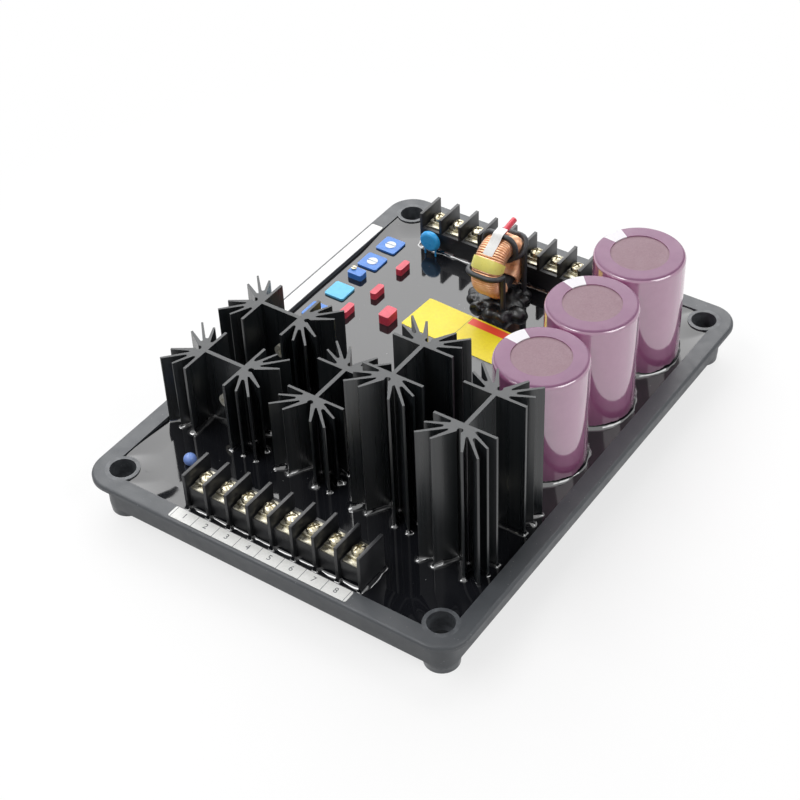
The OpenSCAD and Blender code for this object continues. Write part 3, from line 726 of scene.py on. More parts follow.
@dataclass(frozen=True)
class DippedCoat(Finish):
    """Component dipped in epoxy or moulded in gloss plastic: an even colour with a soft unevenness.

    Attributes:
        other: Colour of its thicker places.
        wave: Size of the unevenness in millimetres.
        depth: Height of the unevenness in millimetres.
        spread: Size of the thicker places as a multiple of the unevenness.
        gloss: How far the roughness falls and rises.
    """

    other: str = "#000000"
    wave: float = 1.5
    depth: float = 0.03
    spread: float = 2.2
    gloss: Pair = (0.05, 0.08)

    def paint(self, tree: Tree, coords: Socket) -> dict[str, Socket]:
        """Adds thicker places and a wavy skin."""
        gloss, skin = (self.wave, *self.gloss), (self.wave, self.depth)
        return self.skin(tree, coords, self.other, self.spread * self.wave, gloss, skin)


# Moulded against sparked steel: a dull grain, drawn coarser than the real 0.1 mm so that it shows, breaks
# every highlight into a soft grey sheen
TRAY_PLASTIC = BoltedTray(
    "black ABS, moulded in a spark-eroded tool",
    "#43464a",
    0.44,
    worn="#494c50",
    grain=0.8,
    depth=0.03,
    dust_spacing=2.0,
)
# Moulded against ground steel: slicker and darker than the tray, pale only along its edges
STRIP_PLASTIC = MouldedPlastic("black nylon, moulded", "#1b1c1e", 0.36, worn="#26272a", grain=0.7, depth=0.008)
# Moulded under pressure without polish: matt in the shade of the fins
DEVICE_PLASTIC = MouldedPlastic("black epoxy, transfer moulded", "#1d1e20", 0.5, worn="#292a2c", grain=0.3)
# Poured and left to level: a dark mirror with slow ripples and a few settled specks
RESIN = CastResin("black epoxy, cast", "#15161a", 0.05, specular=0.75)
# Drawn up walls before it set: a hollow curve that gathers the lamps into white strokes
CREPT_RESIN = CastResin("black epoxy, crept up a wall", "#15161a", 0.05, specular=1.0, coat=1.0, coat_ior=1.9)
# Drawn through a die and dyed: bluish black satin with streaks along the bar, greyer on the level tops, partly as
# sawn metal and partly as painted sheen
ANODISED = AnodisedExtrusion("aluminium, black anodised", "#12171a", 0.3, specular=0.85)
# Turned and plated: small warm flashes among dark reflections
SCREW_METAL = PlatedMetal("brass, nickel plated", "#cdc7b4", 0.26, metallic=1.0, tarnish="#a29a80")
# Plated and dulled by handling: a pale spot between the fins
DEVICE_SCREW = PlatedMetal("steel, zinc plated and dulled", "#e6e4da", 0.5, metallic=0.45, tarnish="#cbc8ba")
# Stamped and plated: flat bright faces with dull spots
CONTACT_METAL = PlatedMetal("steel, zinc plated", "#c9c5b6", 0.3, metallic=1.0, tarnish="#9d9884")
# Stamped from dyed fibre: flat brownish mauve without a highlight
DISC_SHEET = Sheet("fibre disc, dyed", "#8f737c", 0.62, other="#866a74", fibre=0.6)
# Drawn: a soft grey metal that the sleeve hides
CAN_METAL = PlatedMetal("aluminium, drawn", "#b8babd", 0.35, metallic=1.0, tarnish="#a6a8ab")
# Wound under clear enamel: pale copper with one thin highlight on each turn
COPPER = EnamelledCopper("copper, enamelled", "#efc09c", 0.36, metallic=0.6, coat=0.4)
# Wrapped film: smooth yellow with broad soft highlights
TAPE_FILM = DippedCoat("polyester film tape", "#fdf37c", 0.3, other="#f3ec80", wave=2.5, depth=0.05)
# Extruded insulation: dark grey with a soft line of light along it
LEAD_PVC = DippedCoat("PVC wire insulation", "#2a2c2f", 0.42, other="#33363a", wave=1.2, depth=0.02)
# Sintered: dull grey in the gap of the winding
FERRITE = DippedCoat("ferrite, sintered", "#3a3b3d", 0.6, other="#2c2d2e", wave=0.8)
# Squeezed from a nozzle and cured in the open: black lumps with round highlights
ADHESIVE = DippedCoat("silicone adhesive, cured", "#131416", 0.3, other="#1c1d20", wave=2.2, depth=0.04)
# Dipped: rounded red with a soft pink sheen on top
RED_COAT = DippedCoat("polyester film capacitor, dipped red", "#e0465c", 0.34, other="#cc3a50", wave=1.3, depth=0.05)
# Extruded tube: even red
RED_TUBE = DippedCoat("PVC sleeve, red", "#dd3a4e", 0.35, other="#c93044", wave=1.0)
# Dipped: rounded sky blue with a wavy gloss
SKY_COAT = DippedCoat("ceramic capacitor, dipped blue", "#3cb8ff", 0.3, other="#34a9f2", wave=1.4, depth=0.04)
# Moulded: flat light blue with a soft sheen
BOX_PLASTIC = DippedCoat("polyester box, sky blue", "#62c6ee", 0.4, other="#58bae6", wave=1.2)
# Moulded: clear mid blue with crisp edges
TRIMMER_PLASTIC = DippedCoat("polyester trimmer, blue", "#3f83d8", 0.36, other="#3877cb", wave=1.2)
# Dipped: a small periwinkle bead with one highlight
BEAD_COAT = DippedCoat("bead capacitor, dipped blue", "#8fb0f4", 0.3, other="#7f9fee", wave=1.0, depth=0.05)
# Moulded: plain white that reads as a dot from afar
ROTOR_PLASTIC = DippedCoat("nylon rotor, white", "#eef2f6", 0.42, other="#dfe5ec", wave=0.9)
# Coated laminate: dark green, hidden by the resin
BOARD = Sheet("glass-epoxy board, green mask", "#1f5a36", 0.4, other="#1b5030", fibre=0.9)
# Cut from coated film: clean white, nearly matt
PAPER = Sheet("polyester label, white", "#f3f3f1", 0.5, other="#ebebe8", fibre=0.8)
# Printed: grey numerals, softer than the paper is white
PRINT = Sheet("printed numerals", "#54575b", 0.6, other="#6b6e72", fibre=0.4)


@lru_cache(maxsize=None)
def material_of(finish: Finish) -> bpy.types.Material:
    """Gives a finish's material, made once."""
    return finish.material()


# ---------------------------------------------------------------------------------------------
# Modelling by hand
# ---------------------------------------------------------------------------------------------


def eased(share: float) -> float:
    """Holds a share between 0 and 1, and lets it start and end gently."""
    share = min(1.0, max(0.0, share))
    return share * share * (3 - 2 * share)


def linked(name: str, data: bpy.types.ID) -> Thing:
    """Makes an object of its data and puts it into the scene.

    Args:
        name: Name of the object.
        data: Its mesh, curve, lamp or camera.

    Returns:
        The new object.
    """
    piece = bpy.data.objects.new(name, data)
    bpy.context.scene.collection.objects.link(piece)
    return piece


def added(operator: Callable, **settings) -> Thing:
    """Adds an object by one of Blender's operators.

    Args:
        operator: The operator.
        **settings: What it is called with.

    Returns:
        The new object.
    """
    bpy.ops.object.select_all(action="DESELECT")
    operator(**settings)
    return bpy.context.active_object


def pick(piece: Thing) -> None:
    """Selects one object alone and makes it active.

    Args:
        piece: The object.
    """
    bpy.ops.object.select_all(action="DESELECT")
    piece.select_set(True)
    bpy.context.view_layer.objects.active = piece


def settle() -> None:
    """Applies the selected objects' place, turn and size to their meshes."""
    bpy.ops.object.transform_apply(location=True, rotation=True, scale=True)


def smooth(angle: float) -> None:
    """Shades the selected objects smooth where faces meet at less than an angle in degrees."""
    bpy.ops.object.shade_smooth_by_angle(angle=math.radians(angle))


def reshape(piece: Thing, kind: str, **settings) -> None:
    """Changes a piece by a modifier, which is applied.

    Args:
        piece: The piece.
        kind: Blender's name of the modifier's type.
        **settings: Properties of the modifier.
    """
    pick(piece)
    change = piece.modifiers.new(kind.lower(), kind)
    for key, value in settings.items():
        setattr(change, key, value)
    bpy.ops.object.modifier_apply(modifier=change.name)


def edit(piece: Thing) -> bmesh.types.BMesh:
    """Opens a piece in edit mode with everything selected.

    Args:
        piece: The piece.

    Returns:
        Its edit mesh.
    """
    pick(piece)
    bpy.ops.object.mode_set(mode="EDIT")
    bpy.ops.mesh.select_mode(type="VERT")
    bpy.ops.mesh.select_all(action="SELECT")
    return bmesh.from_edit_mesh(piece.data)


def close_edit() -> None:
    """Goes back to object mode."""
    bpy.ops.object.mode_set(mode="OBJECT")


def close_smooth(angle: float) -> None:
    """Turns an open piece's faces outwards, goes back to object mode and shades it smooth.

    Args:
        angle: Angle in degrees from which an edge stays sharp.
    """
    bpy.ops.mesh.select_all(action="SELECT")
    bpy.ops.mesh.normals_make_consistent(inside=False)
    close_edit()
    smooth(angle)


def bent(edge: bmesh.types.BMEdge, least: float) -> bool:
    """Tells whether two faces meet at an edge and turn by more than an angle in degrees."""
    return len(edge.link_faces) == 2 and math.degrees(edge.calc_face_angle()) > least


def select_edges(piece: Thing, wanted: Callable[[bmesh.types.BMEdge], bool]) -> None:
    """Selects the edges of an open piece that pass a test.

    Args:
        piece: The piece, in edit mode.
        wanted: The test.
    """
    for e in bmesh.from_edit_mesh(piece.data).edges:
        e.select_set(wanted(e))
    bmesh.update_edit_mesh(piece.data)


def merged_copy(name: str, node: Thing) -> Thing:
    """Copies a CAD node and merges its doubled vertices.

    Args:
        name: Name of the new piece.
        node: The CAD node.

    Returns:
        The new piece, in edit mode with everything selected.
    """
    piece = linked(name, node.data.copy())
    piece.data.materials.clear()
    edit(piece)
    bpy.ops.mesh.remove_doubles(threshold=SAME_PLACE)
    bpy.ops.mesh.customdata_custom_splitnormals_clear()
    return piece


def softened(name: str, node: Thing, radius: float) -> Thing:
    """Copies a CAD node and rounds its sharp edges.

    Args:
        name: Name of the new piece.
        node: The CAD node.
        radius: Reach of the rounding in millimetres.

    Returns:
        The new piece, in object mode.
    """
    piece = merged_copy(name, node)
    bpy.ops.mesh.dissolve_limited(angle_limit=math.radians(FLAT))
    bpy.ops.mesh.select_mode(type="EDGE")
    select_edges(piece, lambda e: bent(e, SHARP))
    bpy.ops.mesh.bevel(offset=radius * MM, segments=2, affect="EDGES", clamp_overlap=True)
    close_smooth(40.0)
    return piece


def joined(name: str, pieces: list[Thing]) -> Thing:
    """Joins pieces into one.

    Args:
        name: Name of the joined piece.
        pieces: The pieces.

    Returns:
        The joined piece.
    """
    pick(pieces[0])
    for piece in pieces:
        piece.select_set(True)
    bpy.ops.object.join()
    pieces[0].name = name
    return pieces[0]


def section(name: str, node: Thing, height: float) -> Thing:
    """Cuts a CAD node by a level plane and keeps the outline in that plane.

    Args:
        name: Name of the new piece.
        node: The CAD node.
        height: Height of the plane in millimetres.

    Returns:
        The new piece, in object mode.
    """
    piece = merged_copy(name, node)
    bpy.ops.mesh.bisect(
        plane_co=(0.0, 0.0, height * MM),
        plane_no=(0.0, 0.0, 1.0),
        clear_inner=True,
        clear_outer=True,
        threshold=ON_PLANE,
    )
    bpy.ops.mesh.select_all(action="SELECT")
    bpy.ops.mesh.dissolve_degenerate(threshold=0.01 * MM)
    close_edit()
    return piece


def sharp_corners(mesh: bmesh.types.BMesh, least: float) -> Loop:
    """Finds the corners of outlines.

    Args:
        mesh: Edit mesh of outlines.
        least: Least turn of a corner in degrees.

    Returns:
        The corner vertices.
    """
    found = []
    for v in mesh.verts:
        if len(v.link_edges) == 2:
            a, b = (e.other_vert(v).co - v.co for e in v.link_edges)
            if a.length > 0 and b.length > 0 and math.degrees(math.pi - a.angle(b)) > least:
                found.append(v)
    return found


def round_corners(piece: Thing, radius: float, segments: int) -> None:
    """Rounds the sharp corners of a piece's outlines.

    Args:
        piece: A piece of outlines only.
        radius: Reach of the rounding in millimetres.
        segments: Segments of a rounding.
    """
    mesh = edit(piece)
    bpy.ops.mesh.select_all(action="DESELECT")
    for v in sharp_corners(mesh, CORNER):
        v.select_set(True)
    mesh.select_flush_mode()
    bmesh.update_edit_mesh(piece.data)
    bpy.ops.mesh.bevel(
        offset_type="OFFSET", offset=radius * MM, segments=segments, affect="VERTICES", clamp_overlap=True
    )
    bpy.ops.mesh.select_all(action="SELECT")
    bpy.ops.mesh.remove_doubles(threshold=2 * SAME_PLACE)
    close_edit()


def loops_of(mesh: bmesh.types.BMesh) -> list[Loop]:
    """Walks the closed outlines of an edit mesh.

    Args:
        mesh: Edit mesh in which each vertex has two edges.

    Returns:
        The vertices of each outline, in order.
    """
    left, loops = set(mesh.verts), []
    while left:
        start = left.pop()
        loop, edge = [start], start.link_edges[0] if start.link_edges else None
        while edge is not None:
            other = edge.other_vert(loop[-1])
            if other is start or other not in left:
                break
            left.discard(other)
            loop.append(other)
            edge = next((e for e in other.link_edges if e is not edge), None)
        if len(loop) > 2:
            loops.append(loop)
    return loops


def area_of(loop: Loop) -> float:
    """Gives the signed area of an outline in plan, positive if it runs anticlockwise."""
    return sum(a.co.x * b.co.y - b.co.x * a.co.y for a, b in zip(loop, loop[1:] + loop[:1])) / 2


def wire(name: str, path: list[Vector], radius: float, sides: int) -> Thing:
    """Draws round wire along a path, as a mesh.

    Args:
        name: Name of the piece.
        path: Points in millimetres.
        radius: Radius of the wire in millimetres.
        sides: Bevel resolution of the wire.

    Returns:
        The wire.
    """
    curve = bpy.data.curves.new(name, "CURVE")
    curve.dimensions = "3D"
    curve.bevel_depth = radius * MM
    curve.bevel_resolution = sides
    curve.use_fill_caps = True
    spline = curve.splines.new("POLY")
    spline.points.add(len(path) - 1)
    for point, place in zip(spline.points, path):
        point.co = (*(place * MM), 1.0)
    piece = linked(name, curve)
    pick(piece)
    bpy.ops.object.convert(target="MESH")
    smooth(50.0)
    return piece


# ---------------------------------------------------------------------------------------------
# Sub-assemblies
# ---------------------------------------------------------------------------------------------


@dataclass
class SubAssembly:
    """Pieces that belong together on the regulator.

    Attributes:
    """

    frame: dict

    def dress(self, finish: Finish, *nodes: str) -> None:
        """Gives CAD nodes a finish.

        Args:
            finish: The finish.
            *nodes: Names of the nodes.
        """
        for name in nodes:
            for slot in self.frame["nodes"][name].material_slots:
                slot.material = material_of(finish)
            LOG.info("dressed %s in %s", name, finish.name)

    def seat(self, piece: Thing, finish: Finish, slot: str, *replaced: str) -> None:
        """Gives a new piece its finish and its body, and hides the CAD nodes that it replaces.

        Args:
            piece: The piece.
            finish: Its finish.
            slot: Slot of the record that the finish belongs to; not used.
            *replaced: Names of the CAD nodes that it replaces.
        """
        piece.data.materials.clear()
        piece.data.materials.append(material_of(finish))
        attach(piece, BASE_BODY)
        if replaced:
            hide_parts(*replaced)
        LOG.info("built %s in %s, %d faces", piece.name, finish.name, len(piece.data.polygons))


@dataclass
class ResinBed(SubAssembly):
    """Tray, cast resin and the resin's climb up whatever stands in it.

    Attributes:
        level: Height of the resin's surface.
        climb: Height to which the resin creeps up a tall wall.
        least: Height above the resin from which a part has a creep round it.
        corner: Rounding of the creep round a corner.
        step: Longest straight stretch of the creep, short enough to let it waver.
        waves: Strength and rate per millimetre of the creep's wavering.
        arc_steps: Segments of the creep's hollow curve.
        tuck: Share of the climb by which the creep reaches into the wall and below the surface.
        field: Half of the resin's length along X and along Y.
        holes: Half of the bolt pattern along X and along Y.
        boss_r: Radius of the tubes round the bolt holes.
        lip: Height and width of the slope by which the resin rises to the tray's rim at its corners.
        lip_cells: Cells of the slope's grid along X and along Y.
        lip_reach: Distances from a bolt hole between which the slope sinks to its least.
        lip_least: Share of the slope's height that is left between the corners.
        sunk: Depth of the slope's foot below the surface.
        behind: How far the grid and the slope reach behind the walls.
        hold: Distance that the slope's opening keeps from a trimmer's walls, more than one step of its grid.
        trimmers: Number of trimmers, in which the slope is open to leave their rotors free.
    """

    level: float = 16.5
    climb: float = 1.6
    least: float = 9.0
    corner: float = 0.16
    step: float = 0.7
    waves: tuple[Pair, ...] = ((0.75, 0.27), (0.2, 0.6))
    arc_steps: int = 7
    tuck: Pair = (0.06, 0.25)
    field: Pair = (74.3, 99.3)
    holes: Pair = (70.0, 95.0)
    boss_r: float = 6.5
    lip: Pair = (1.5, 11.0)
    lip_cells: tuple[int, int] = (152, 202)
    lip_reach: Pair = (10.0, 36.0)
    lip_least: float = 0.2
    sunk: float = 0.04
    behind: Pair = (1.0, 1.3)
    hold: float = 1.05
    trimmers: int = 3

    def build(self) -> None:
        """Builds the creep and the slope, and dresses the tray, the resin and the board."""
        self.dress(TRAY_PLASTIC, "tray")
        self.dress(RESIN, "resin_fill")
        self.dress(BOARD, "circuit_board")
        self.seat(self.creep(), CREPT_RESIN, "resin")
        self.seat(self.corner_lip(), RESIN, "resin")

    def corner_lip(self) -> Thing:
        """Models the slope by which the resin rises to the rim, highest at the tray's corners.

        Returns:
            A band along the tray's walls that sinks into the resin's surface.
        """
        rise, width = self.lip
        full_at, least_at = self.lip_reach
        columns, rows = self.lip_cells
        piece = added(bpy.ops.mesh.primitive_grid_add, x_subdivisions=columns, y_subdivisions=rows, size=2.0)
        piece.name = "resin_lip"
        mesh = edit(piece)
        bodies = [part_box(f"trimmer_body_{number}") for number in range(1, self.trimmers + 1)]
        away = []
        for v in mesh.verts:
            x, y = (share * (half + self.behind[0]) for share, half in zip(v.co, self.field))
            to_hole = math.hypot(abs(x) - self.holes[0], abs(y) - self.holes[1])
            wall = min(self.field[0] - abs(x), self.field[1] - abs(y), to_hole - self.boss_r)
            near = eased((least_at - to_hole) / (least_at - full_at))
            full = rise * (self.lip_least + (1 - self.lip_least) * near)
            slope = full * min(1.0, max(0.0, 1 - wall / width)) ** 2
            v.co = Vector((x, y, self.level - self.sunk + slope)) * MM
            within = any(
                low.x / MM + self.hold < x < high.x / MM - self.hold
                and low.y / MM + self.hold < y < high.y / MM - self.hold
                for low, high in bodies
            )
            if wall > width or wall < -self.behind[1] or within:
                away.append(v)
        bmesh.ops.delete(mesh, geom=away, context="VERTS")
        bmesh.update_edit_mesh(piece.data)
        close_edit()
        bpy.ops.object.shade_smooth()
        return piece

    def wall_above(self, loop: Loop) -> float:
        """Finds how far the part inside an outline stands above the resin.

        Args:
            loop: The outline.

        Returns:
            Height of the highest node that the outline belongs to, in millimetres.
        """
        xs, ys = [v.co.x for v in loop], [v.co.y for v in loop]
        near, much_wider, tops = 0.4 * MM, 2.2, [0.0]
        for name in self.frame["nodes"]:
            low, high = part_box(name)
            ends = ((min(xs), low.x), (max(xs), high.x), (min(ys), low.y), (max(ys), high.y))
            fits = all(abs(a - b) < near for a, b in ends)
            inside = low.x < sum(xs) / len(xs) < high.x and low.y < sum(ys) / len(ys) < high.y
            reach = max(max(xs) - min(xs), max(ys) - min(ys))
            small = max(high.x - low.x, high.y - low.y) < much_wider * reach
            if fits or (inside and small):
                tops.append(high.z / MM - self.level)
        return max(tops)

    def outlines(self) -> Thing:
        """Cuts all outlines in the resin's surface, rounded and divided into short stretches.

        Returns:
            A piece of edges.
        """
        just_below = self.level - 0.05
        piece = section("resin_creep", self.frame["nodes"]["resin_fill"], just_below)
        round_corners(piece, self.corner, 3)
        edit(piece)
        bpy.ops.mesh.select_mode(type="EDGE")
        for cuts in (15, 3, 1):
            longest = self.step * cuts * MM
            select_edges(piece, lambda e: e.calc_length() > longest)
            bpy.ops.mesh.subdivide(number_cuts=cuts)
        close_edit()
        return piece

    def creep(self) -> Thing:
        """Models the hollow creep round every part that stands well above the resin.

        Returns:
            The creep, one closed ring for each such part's outline.
        """
        piece = self.outlines()
        mesh = edit(piece)
        away = mesh.verts.layers.float_vector.new("away")
        rise = mesh.verts.layers.float.new("rise")
        loops = loops_of(mesh)
        outer = max(loops, key=lambda loop: abs(area_of(loop)))
        low = [loop for loop in loops if loop is outer or self.wall_above(loop) < self.least]
        widest, sharpest = 1.4, 0.4
        for loop in (loop for loop in loops if loop not in low):
            side = 1.0 if area_of(loop) > 0 else -1.0
            for before, here, after in zip(loop[-1:] + loop[:-1], loop, loop[1:] + loop[:1]):
                a, b = (here.co - before.co).normalized(), (after.co - here.co).normalized()
                out = Vector((a.y + b.y, -a.x - b.x, 0.0))
                waver = 1.0 + sum(share * noise.noise(here.co / MM * rate) for share, rate in self.waves)
                here[rise] = self.climb * waver
                if out.length > 1e-6:
                    out = out.normalized() * side * min(widest, 2 / max(out.length, sharpest))
                here[away] = out
        bmesh.ops.delete(mesh, geom=[v for loop in low for v in loop], context="VERTS")
        LOG.info("creep round %d of %d outlines", len(loops) - len(low), len(loops))
        # Quarter round, hollow towards the room, then down and back under the resin's surface
        into, under = self.tuck
        arc = [math.radians(90 * i / self.arc_steps) for i in range(self.arc_steps + 1)]
        at = (-into, 1.0)
        profile = [(1 - math.cos(t), 1 - math.sin(t)) for t in arc] + [(1.0, -under), (-into, -under), at]
        for v in mesh.verts:
            v.co += v[away] * v[rise] * at[0] * MM
            v.co.z = self.level * MM + v[rise] * at[1] * MM
        bmesh.update_edit_mesh(piece.data)
        bpy.ops.mesh.select_mode(type="EDGE")
        bpy.ops.mesh.select_all(action="SELECT")
        for point in profile:
            bpy.ops.mesh.extrude_edges_move()
            mesh = bmesh.from_edit_mesh(piece.data)
            away, rise = mesh.verts.layers.float_vector["away"], mesh.verts.layers.float["rise"]
            for v in mesh.verts:
                if v.select:
                    v.co += v[away] * v[rise] * (point[0] - at[0]) * MM
                    v.co.z += v[rise] * (point[1] - at[1]) * MM
            bmesh.update_edit_mesh(piece.data)
            at = point
        bpy.ops.mesh.select_all(action="SELECT")
        bpy.ops.mesh.remove_doubles(threshold=SAME_PLACE)
        close_smooth(60.0)
        for name in ("away", "rise"):
            piece.data.attributes.remove(piece.data.attributes[name])
        return piece


@dataclass
class HeatSinks(SubAssembly):
    """Sawn lengths of a radial-fin extrusion with a power device on each web.

    Attributes:
        count: Number of heat sinks.
        section_at: Height at which the section is taken, below the resin.
        edge: Rounding of the extrusion's edges.
        saw_edge: Bevel of the sawn ends.
    """

    count: int = 5
    section_at: float = 14.5
    edge: float = 0.22
    saw_edge: float = 0.1

    def build(self) -> None:
        """Builds the extrusions and dresses the devices."""
        for number in range(1, self.count + 1):
            self.seat(self.extrusion(number), ANODISED, "black_anodised", f"heat_sink_{number}")
            self.dress(DEVICE_PLASTIC, f"power_device_{number}")
        self.dress(DEVICE_SCREW, "device_screws", "device_nuts")

    def extrusion(self, number: int) -> Thing:
        """Extrudes a heat sink from its own section.

        Args:
            number: Which heat sink.

        Returns:
            The heat sink with rounded edges.
        """
        name = f"heat_sink_{number}"
        low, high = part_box(name)
        piece = section(f"fin_stack_{number}", self.frame["nodes"][name], self.section_at)
        round_corners(piece, self.edge, 2)
        mesh = edit(piece)
        for v in mesh.verts:
            v.co.z = low.z
        bmesh.update_edit_mesh(piece.data)
        bpy.ops.mesh.select_mode(type="EDGE")
        bpy.ops.mesh.select_all(action="SELECT")
        bpy.ops.mesh.fill(use_beauty=True)
        bpy.ops.mesh.select_all(action="SELECT")
        bpy.ops.mesh.extrude_region_move(TRANSFORM_OT_translate={"value": (0.0, 0.0, high.z - low.z)})
        top = high.z - 0.01 * MM
        select_edges(piece, lambda e: bent(e, 60.0) and all(v.co.z > top for v in e.verts))
        bpy.ops.mesh.bevel(
            offset_type="OFFSET", offset=self.saw_edge * MM, segments=1, affect="EDGES", clamp_overlap=True
        )
        close_smooth(38.0)
        return piece


@dataclass
class TerminalStrips(SubAssembly):
    """Two barrier strips of screw terminals.

    Attributes:
        ways: Number of terminals of a strip.
        sides: Sides of a screw.
        head_r: Radius of a screw's head.
        head_h: Height of a screw's head.
        head_edge: Bevel of the head's lower edge.
        shank_r: Radius of its shank.
        shank_l: Length of shank below the head.
        rim_share: Share of the head's height below the dome.
        dome: Places on the dome from its rim up, in degrees.
        cross: Width, length and depth of the cross recess.
        slot: Width, length and depth of the slot.
        turn_rate: Rate per millimetre at which the screws' turns differ.
        edge: Rounding of the moulded and stamped edges.
    """

    ways: int = 8
    sides: int = 40
    head_r: float = 2.7
    head_h: float = 2.4
    head_edge: float = 0.12
    shank_r: float = 1.5
    shank_l: float = 2.0
    rim_share: float = 0.45
    dome: tuple[float, ...] = (15.0, 30.0, 45.0, 60.0, 75.0, 84.0)
    cross: Triple = (0.8, 3.0, 1.3)
    slot: Triple = (0.7, 6.0, 0.75)
    turn_rate: float = 1.7
    edge: float = 0.14

    def build(self) -> None:
        """Builds the screws, housings and stampings of both strips."""
        screw = self.screw()
        for strip in Strip:
            self.seat(self.heads(strip, screw), SCREW_METAL, "screw_metal", f"{strip.value}_terminal_screws")
            for part, finish, slot in (
                ("terminal_housing", STRIP_PLASTIC, "terminal_plastic"),
                ("contact_plates", CONTACT_METAL, "contact_metal"),
                ("clamp_washers", CONTACT_METAL, "contact_metal"),
            ):
                node = f"{strip.value}_{part}"
                self.seat(softened(f"{node}_soft", self.frame["nodes"][node], self.edge), finish, slot, node)
        bpy.data.objects.remove(screw)

    def screw(self) -> Thing:
        """Models one pan head screw with its head's underside at the origin.

        Returns:
            The screw.
        """
        r, h, rim = self.head_r, self.head_h, self.head_h * self.rim_share
        outline = [(self.shank_r, 0.0), (r - self.head_edge, 0.0), (r, self.head_edge), (r, rim)]
        for t in map(math.radians, self.dome):
            outline.append((r * math.cos(t), rim + (h - rim) * math.sin(t)))
        foot = (0.0, 0.0, -self.shank_l * MM)
        piece = added(
            bpy.ops.mesh.primitive_circle_add,
            vertices=self.sides,
            radius=self.shank_r * MM,
            fill_type="NGON",
            location=foot,
        )
        settle()
        edit(piece)
        wide, high = self.shank_r, -self.shank_l
        for radius, height in outline:
            bpy.ops.mesh.extrude_region_move(TRANSFORM_OT_translate={"value": (0.0, 0.0, (height - high) * MM)})
            bpy.ops.transform.resize(value=(radius / wide, radius / wide, 1.0), center_override=(0.0, 0.0, 0.0))
            wide, high = radius, height
        bpy.ops.mesh.select_all(action="SELECT")
        bpy.ops.mesh.normals_make_consistent(inside=False)
        close_edit()
        for size, turn in ((self.cross, 0.0), (self.cross, 90.0), (self.slot, 0.0)):
            self.recess(piece, size, turn)
        pick(piece)
        smooth(32.0)
        return piece

    def recess(self, piece: Thing, size: Triple, turn: float) -> None:
        """Sinks a recess into the top of the screw.

        Args:
            piece: The screw.
            size: Width, length and depth in millimetres.
            turn: Turn of the recess in degrees.
        """
        cutter = added(bpy.ops.mesh.primitive_cube_add, size=MM, location=(0.0, 0.0, self.head_h * MM))
        cutter.scale = (size[0], size[1], 2 * size[2])
        cutter.rotation_euler.z = math.radians(turn)
        settle()
        reshape(piece, "BOOLEAN", operation="DIFFERENCE", object=cutter)
        bpy.data.objects.remove(cutter)

    def heads(self, strip: Strip, screw: Thing) -> Thing:
        """Copies the screw to every terminal of a strip, each turned as it was left.

        Args:
            strip: Which strip.
            screw: The screw that is copied.

        Returns:
            All screws of the strip.
        """
        low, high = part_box(f"{strip.value}_terminal_screws")
        first, last = low.x + self.head_r * MM, high.x - self.head_r * MM
        made = []
        for i in range(self.ways):
            along = first + (last - first) * i / (self.ways - 1)
            place = Vector((along, (low.y + high.y) / 2, high.z - self.head_h * MM))
            piece = linked(f"{strip.value}_screw", screw.data.copy())
            turn = 180.0 * noise.noise(place / MM * self.turn_rate)
            piece.data.transform(Matrix.Translation(place) @ Matrix.Rotation(math.radians(turn), 4, "Z"))
            made.append(piece)
        return joined(f"{strip.value}_screw_heads", made)


@dataclass
class LargeCapacitors(SubAssembly):
    """Three sleeved capacitors in a row.

    Attributes:
        stripes: Direction of each sleeve's stripe in degrees, from the front capacitor back.
        colour: Colour of the sleeves where they shrank over the rim.
        painted_sheen_side: Colour of the sleeves on their sides, lighter than the ring on top as painted sheen.
        painted_sheen_side_thick: Colour of their sides' thicker places, lighter by the same painted sheen.
        shoulder: Depth below the top at which the stripe's bars begin.
        rim: Depth below the top within which level faces belong to the ring on top.
        level: Upward part of the normal from which a face counts as level.
    """

    stripes: tuple[float, ...] = (158.0, 146.0, 159.0)
    colour: str = "#845877"
    # The side colours are lighter than the ring's as painted sheen, standing in for bright reflections down the side
    painted_sheen_side: str = "#a6678f"
    painted_sheen_side_thick: str = "#a0628a"
    shoulder: float = 5.0
    rim: float = 1.0
    level: float = 0.8

    def build(self) -> None:
        """Builds the sleeves, and dresses discs and cans."""
        for number, stripe in enumerate(self.stripes, 1):
            self.sleeve(number, stripe)
            self.dress(DISC_SHEET, f"capacitor_disc_{number}")
            self.dress(CAN_METAL, f"capacitor_can_{number}")

    def sleeve(self, number: int, stripe: float) -> None:
        """Skins a can in its sleeve: glossy on the side, with a lighter colour there that is painted sheen, and
        duller on the top.

        Args:
            number: Which capacitor.
            stripe: Direction of the stripe in degrees.
        """
        node = f"capacitor_sleeve_{number}"
        low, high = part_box(node)
        middle = (low + high) / 2 / MM
        shared = {"centre": (middle.x, middle.y), "stripe": stripe, "top": high.z / MM - self.shoulder}
        # Shrunk hot over the can: a hard gloss with long bright strokes down the side, and a lighter colour there as
        # painted sheen
        gloss = {"coat": 1.0, "coat_ior": 2.3, "thick": self.painted_sheen_side_thick}
        side = ShrunkSleeve(f"PVC sleeve {number}, shrunk taut", self.painted_sheen_side, 0.16, **gloss, **shared)
        # Gathered over the rim: duller, with a broad soft sheen
        over = f"PVC sleeve {number}, shrunk over the rim"
        ring = ShrunkSleeve(over, self.colour, 0.34, specular=0.4, **shared)
        piece = merged_copy(f"sleeve_skin_{number}", self.frame["nodes"][node])
        close_edit()
        self.seat(piece, side, "mauve_sleeve", node)
        piece.data.materials.append(material_of(ring))
        # Level faces near the top take the ring's darker colour, all others the side colour with its painted sheen
        for face in piece.data.polygons:
            face.material_index = int(face.normal.z > self.level and face.center.z > high.z - self.rim * MM)
        smooth(32.0)


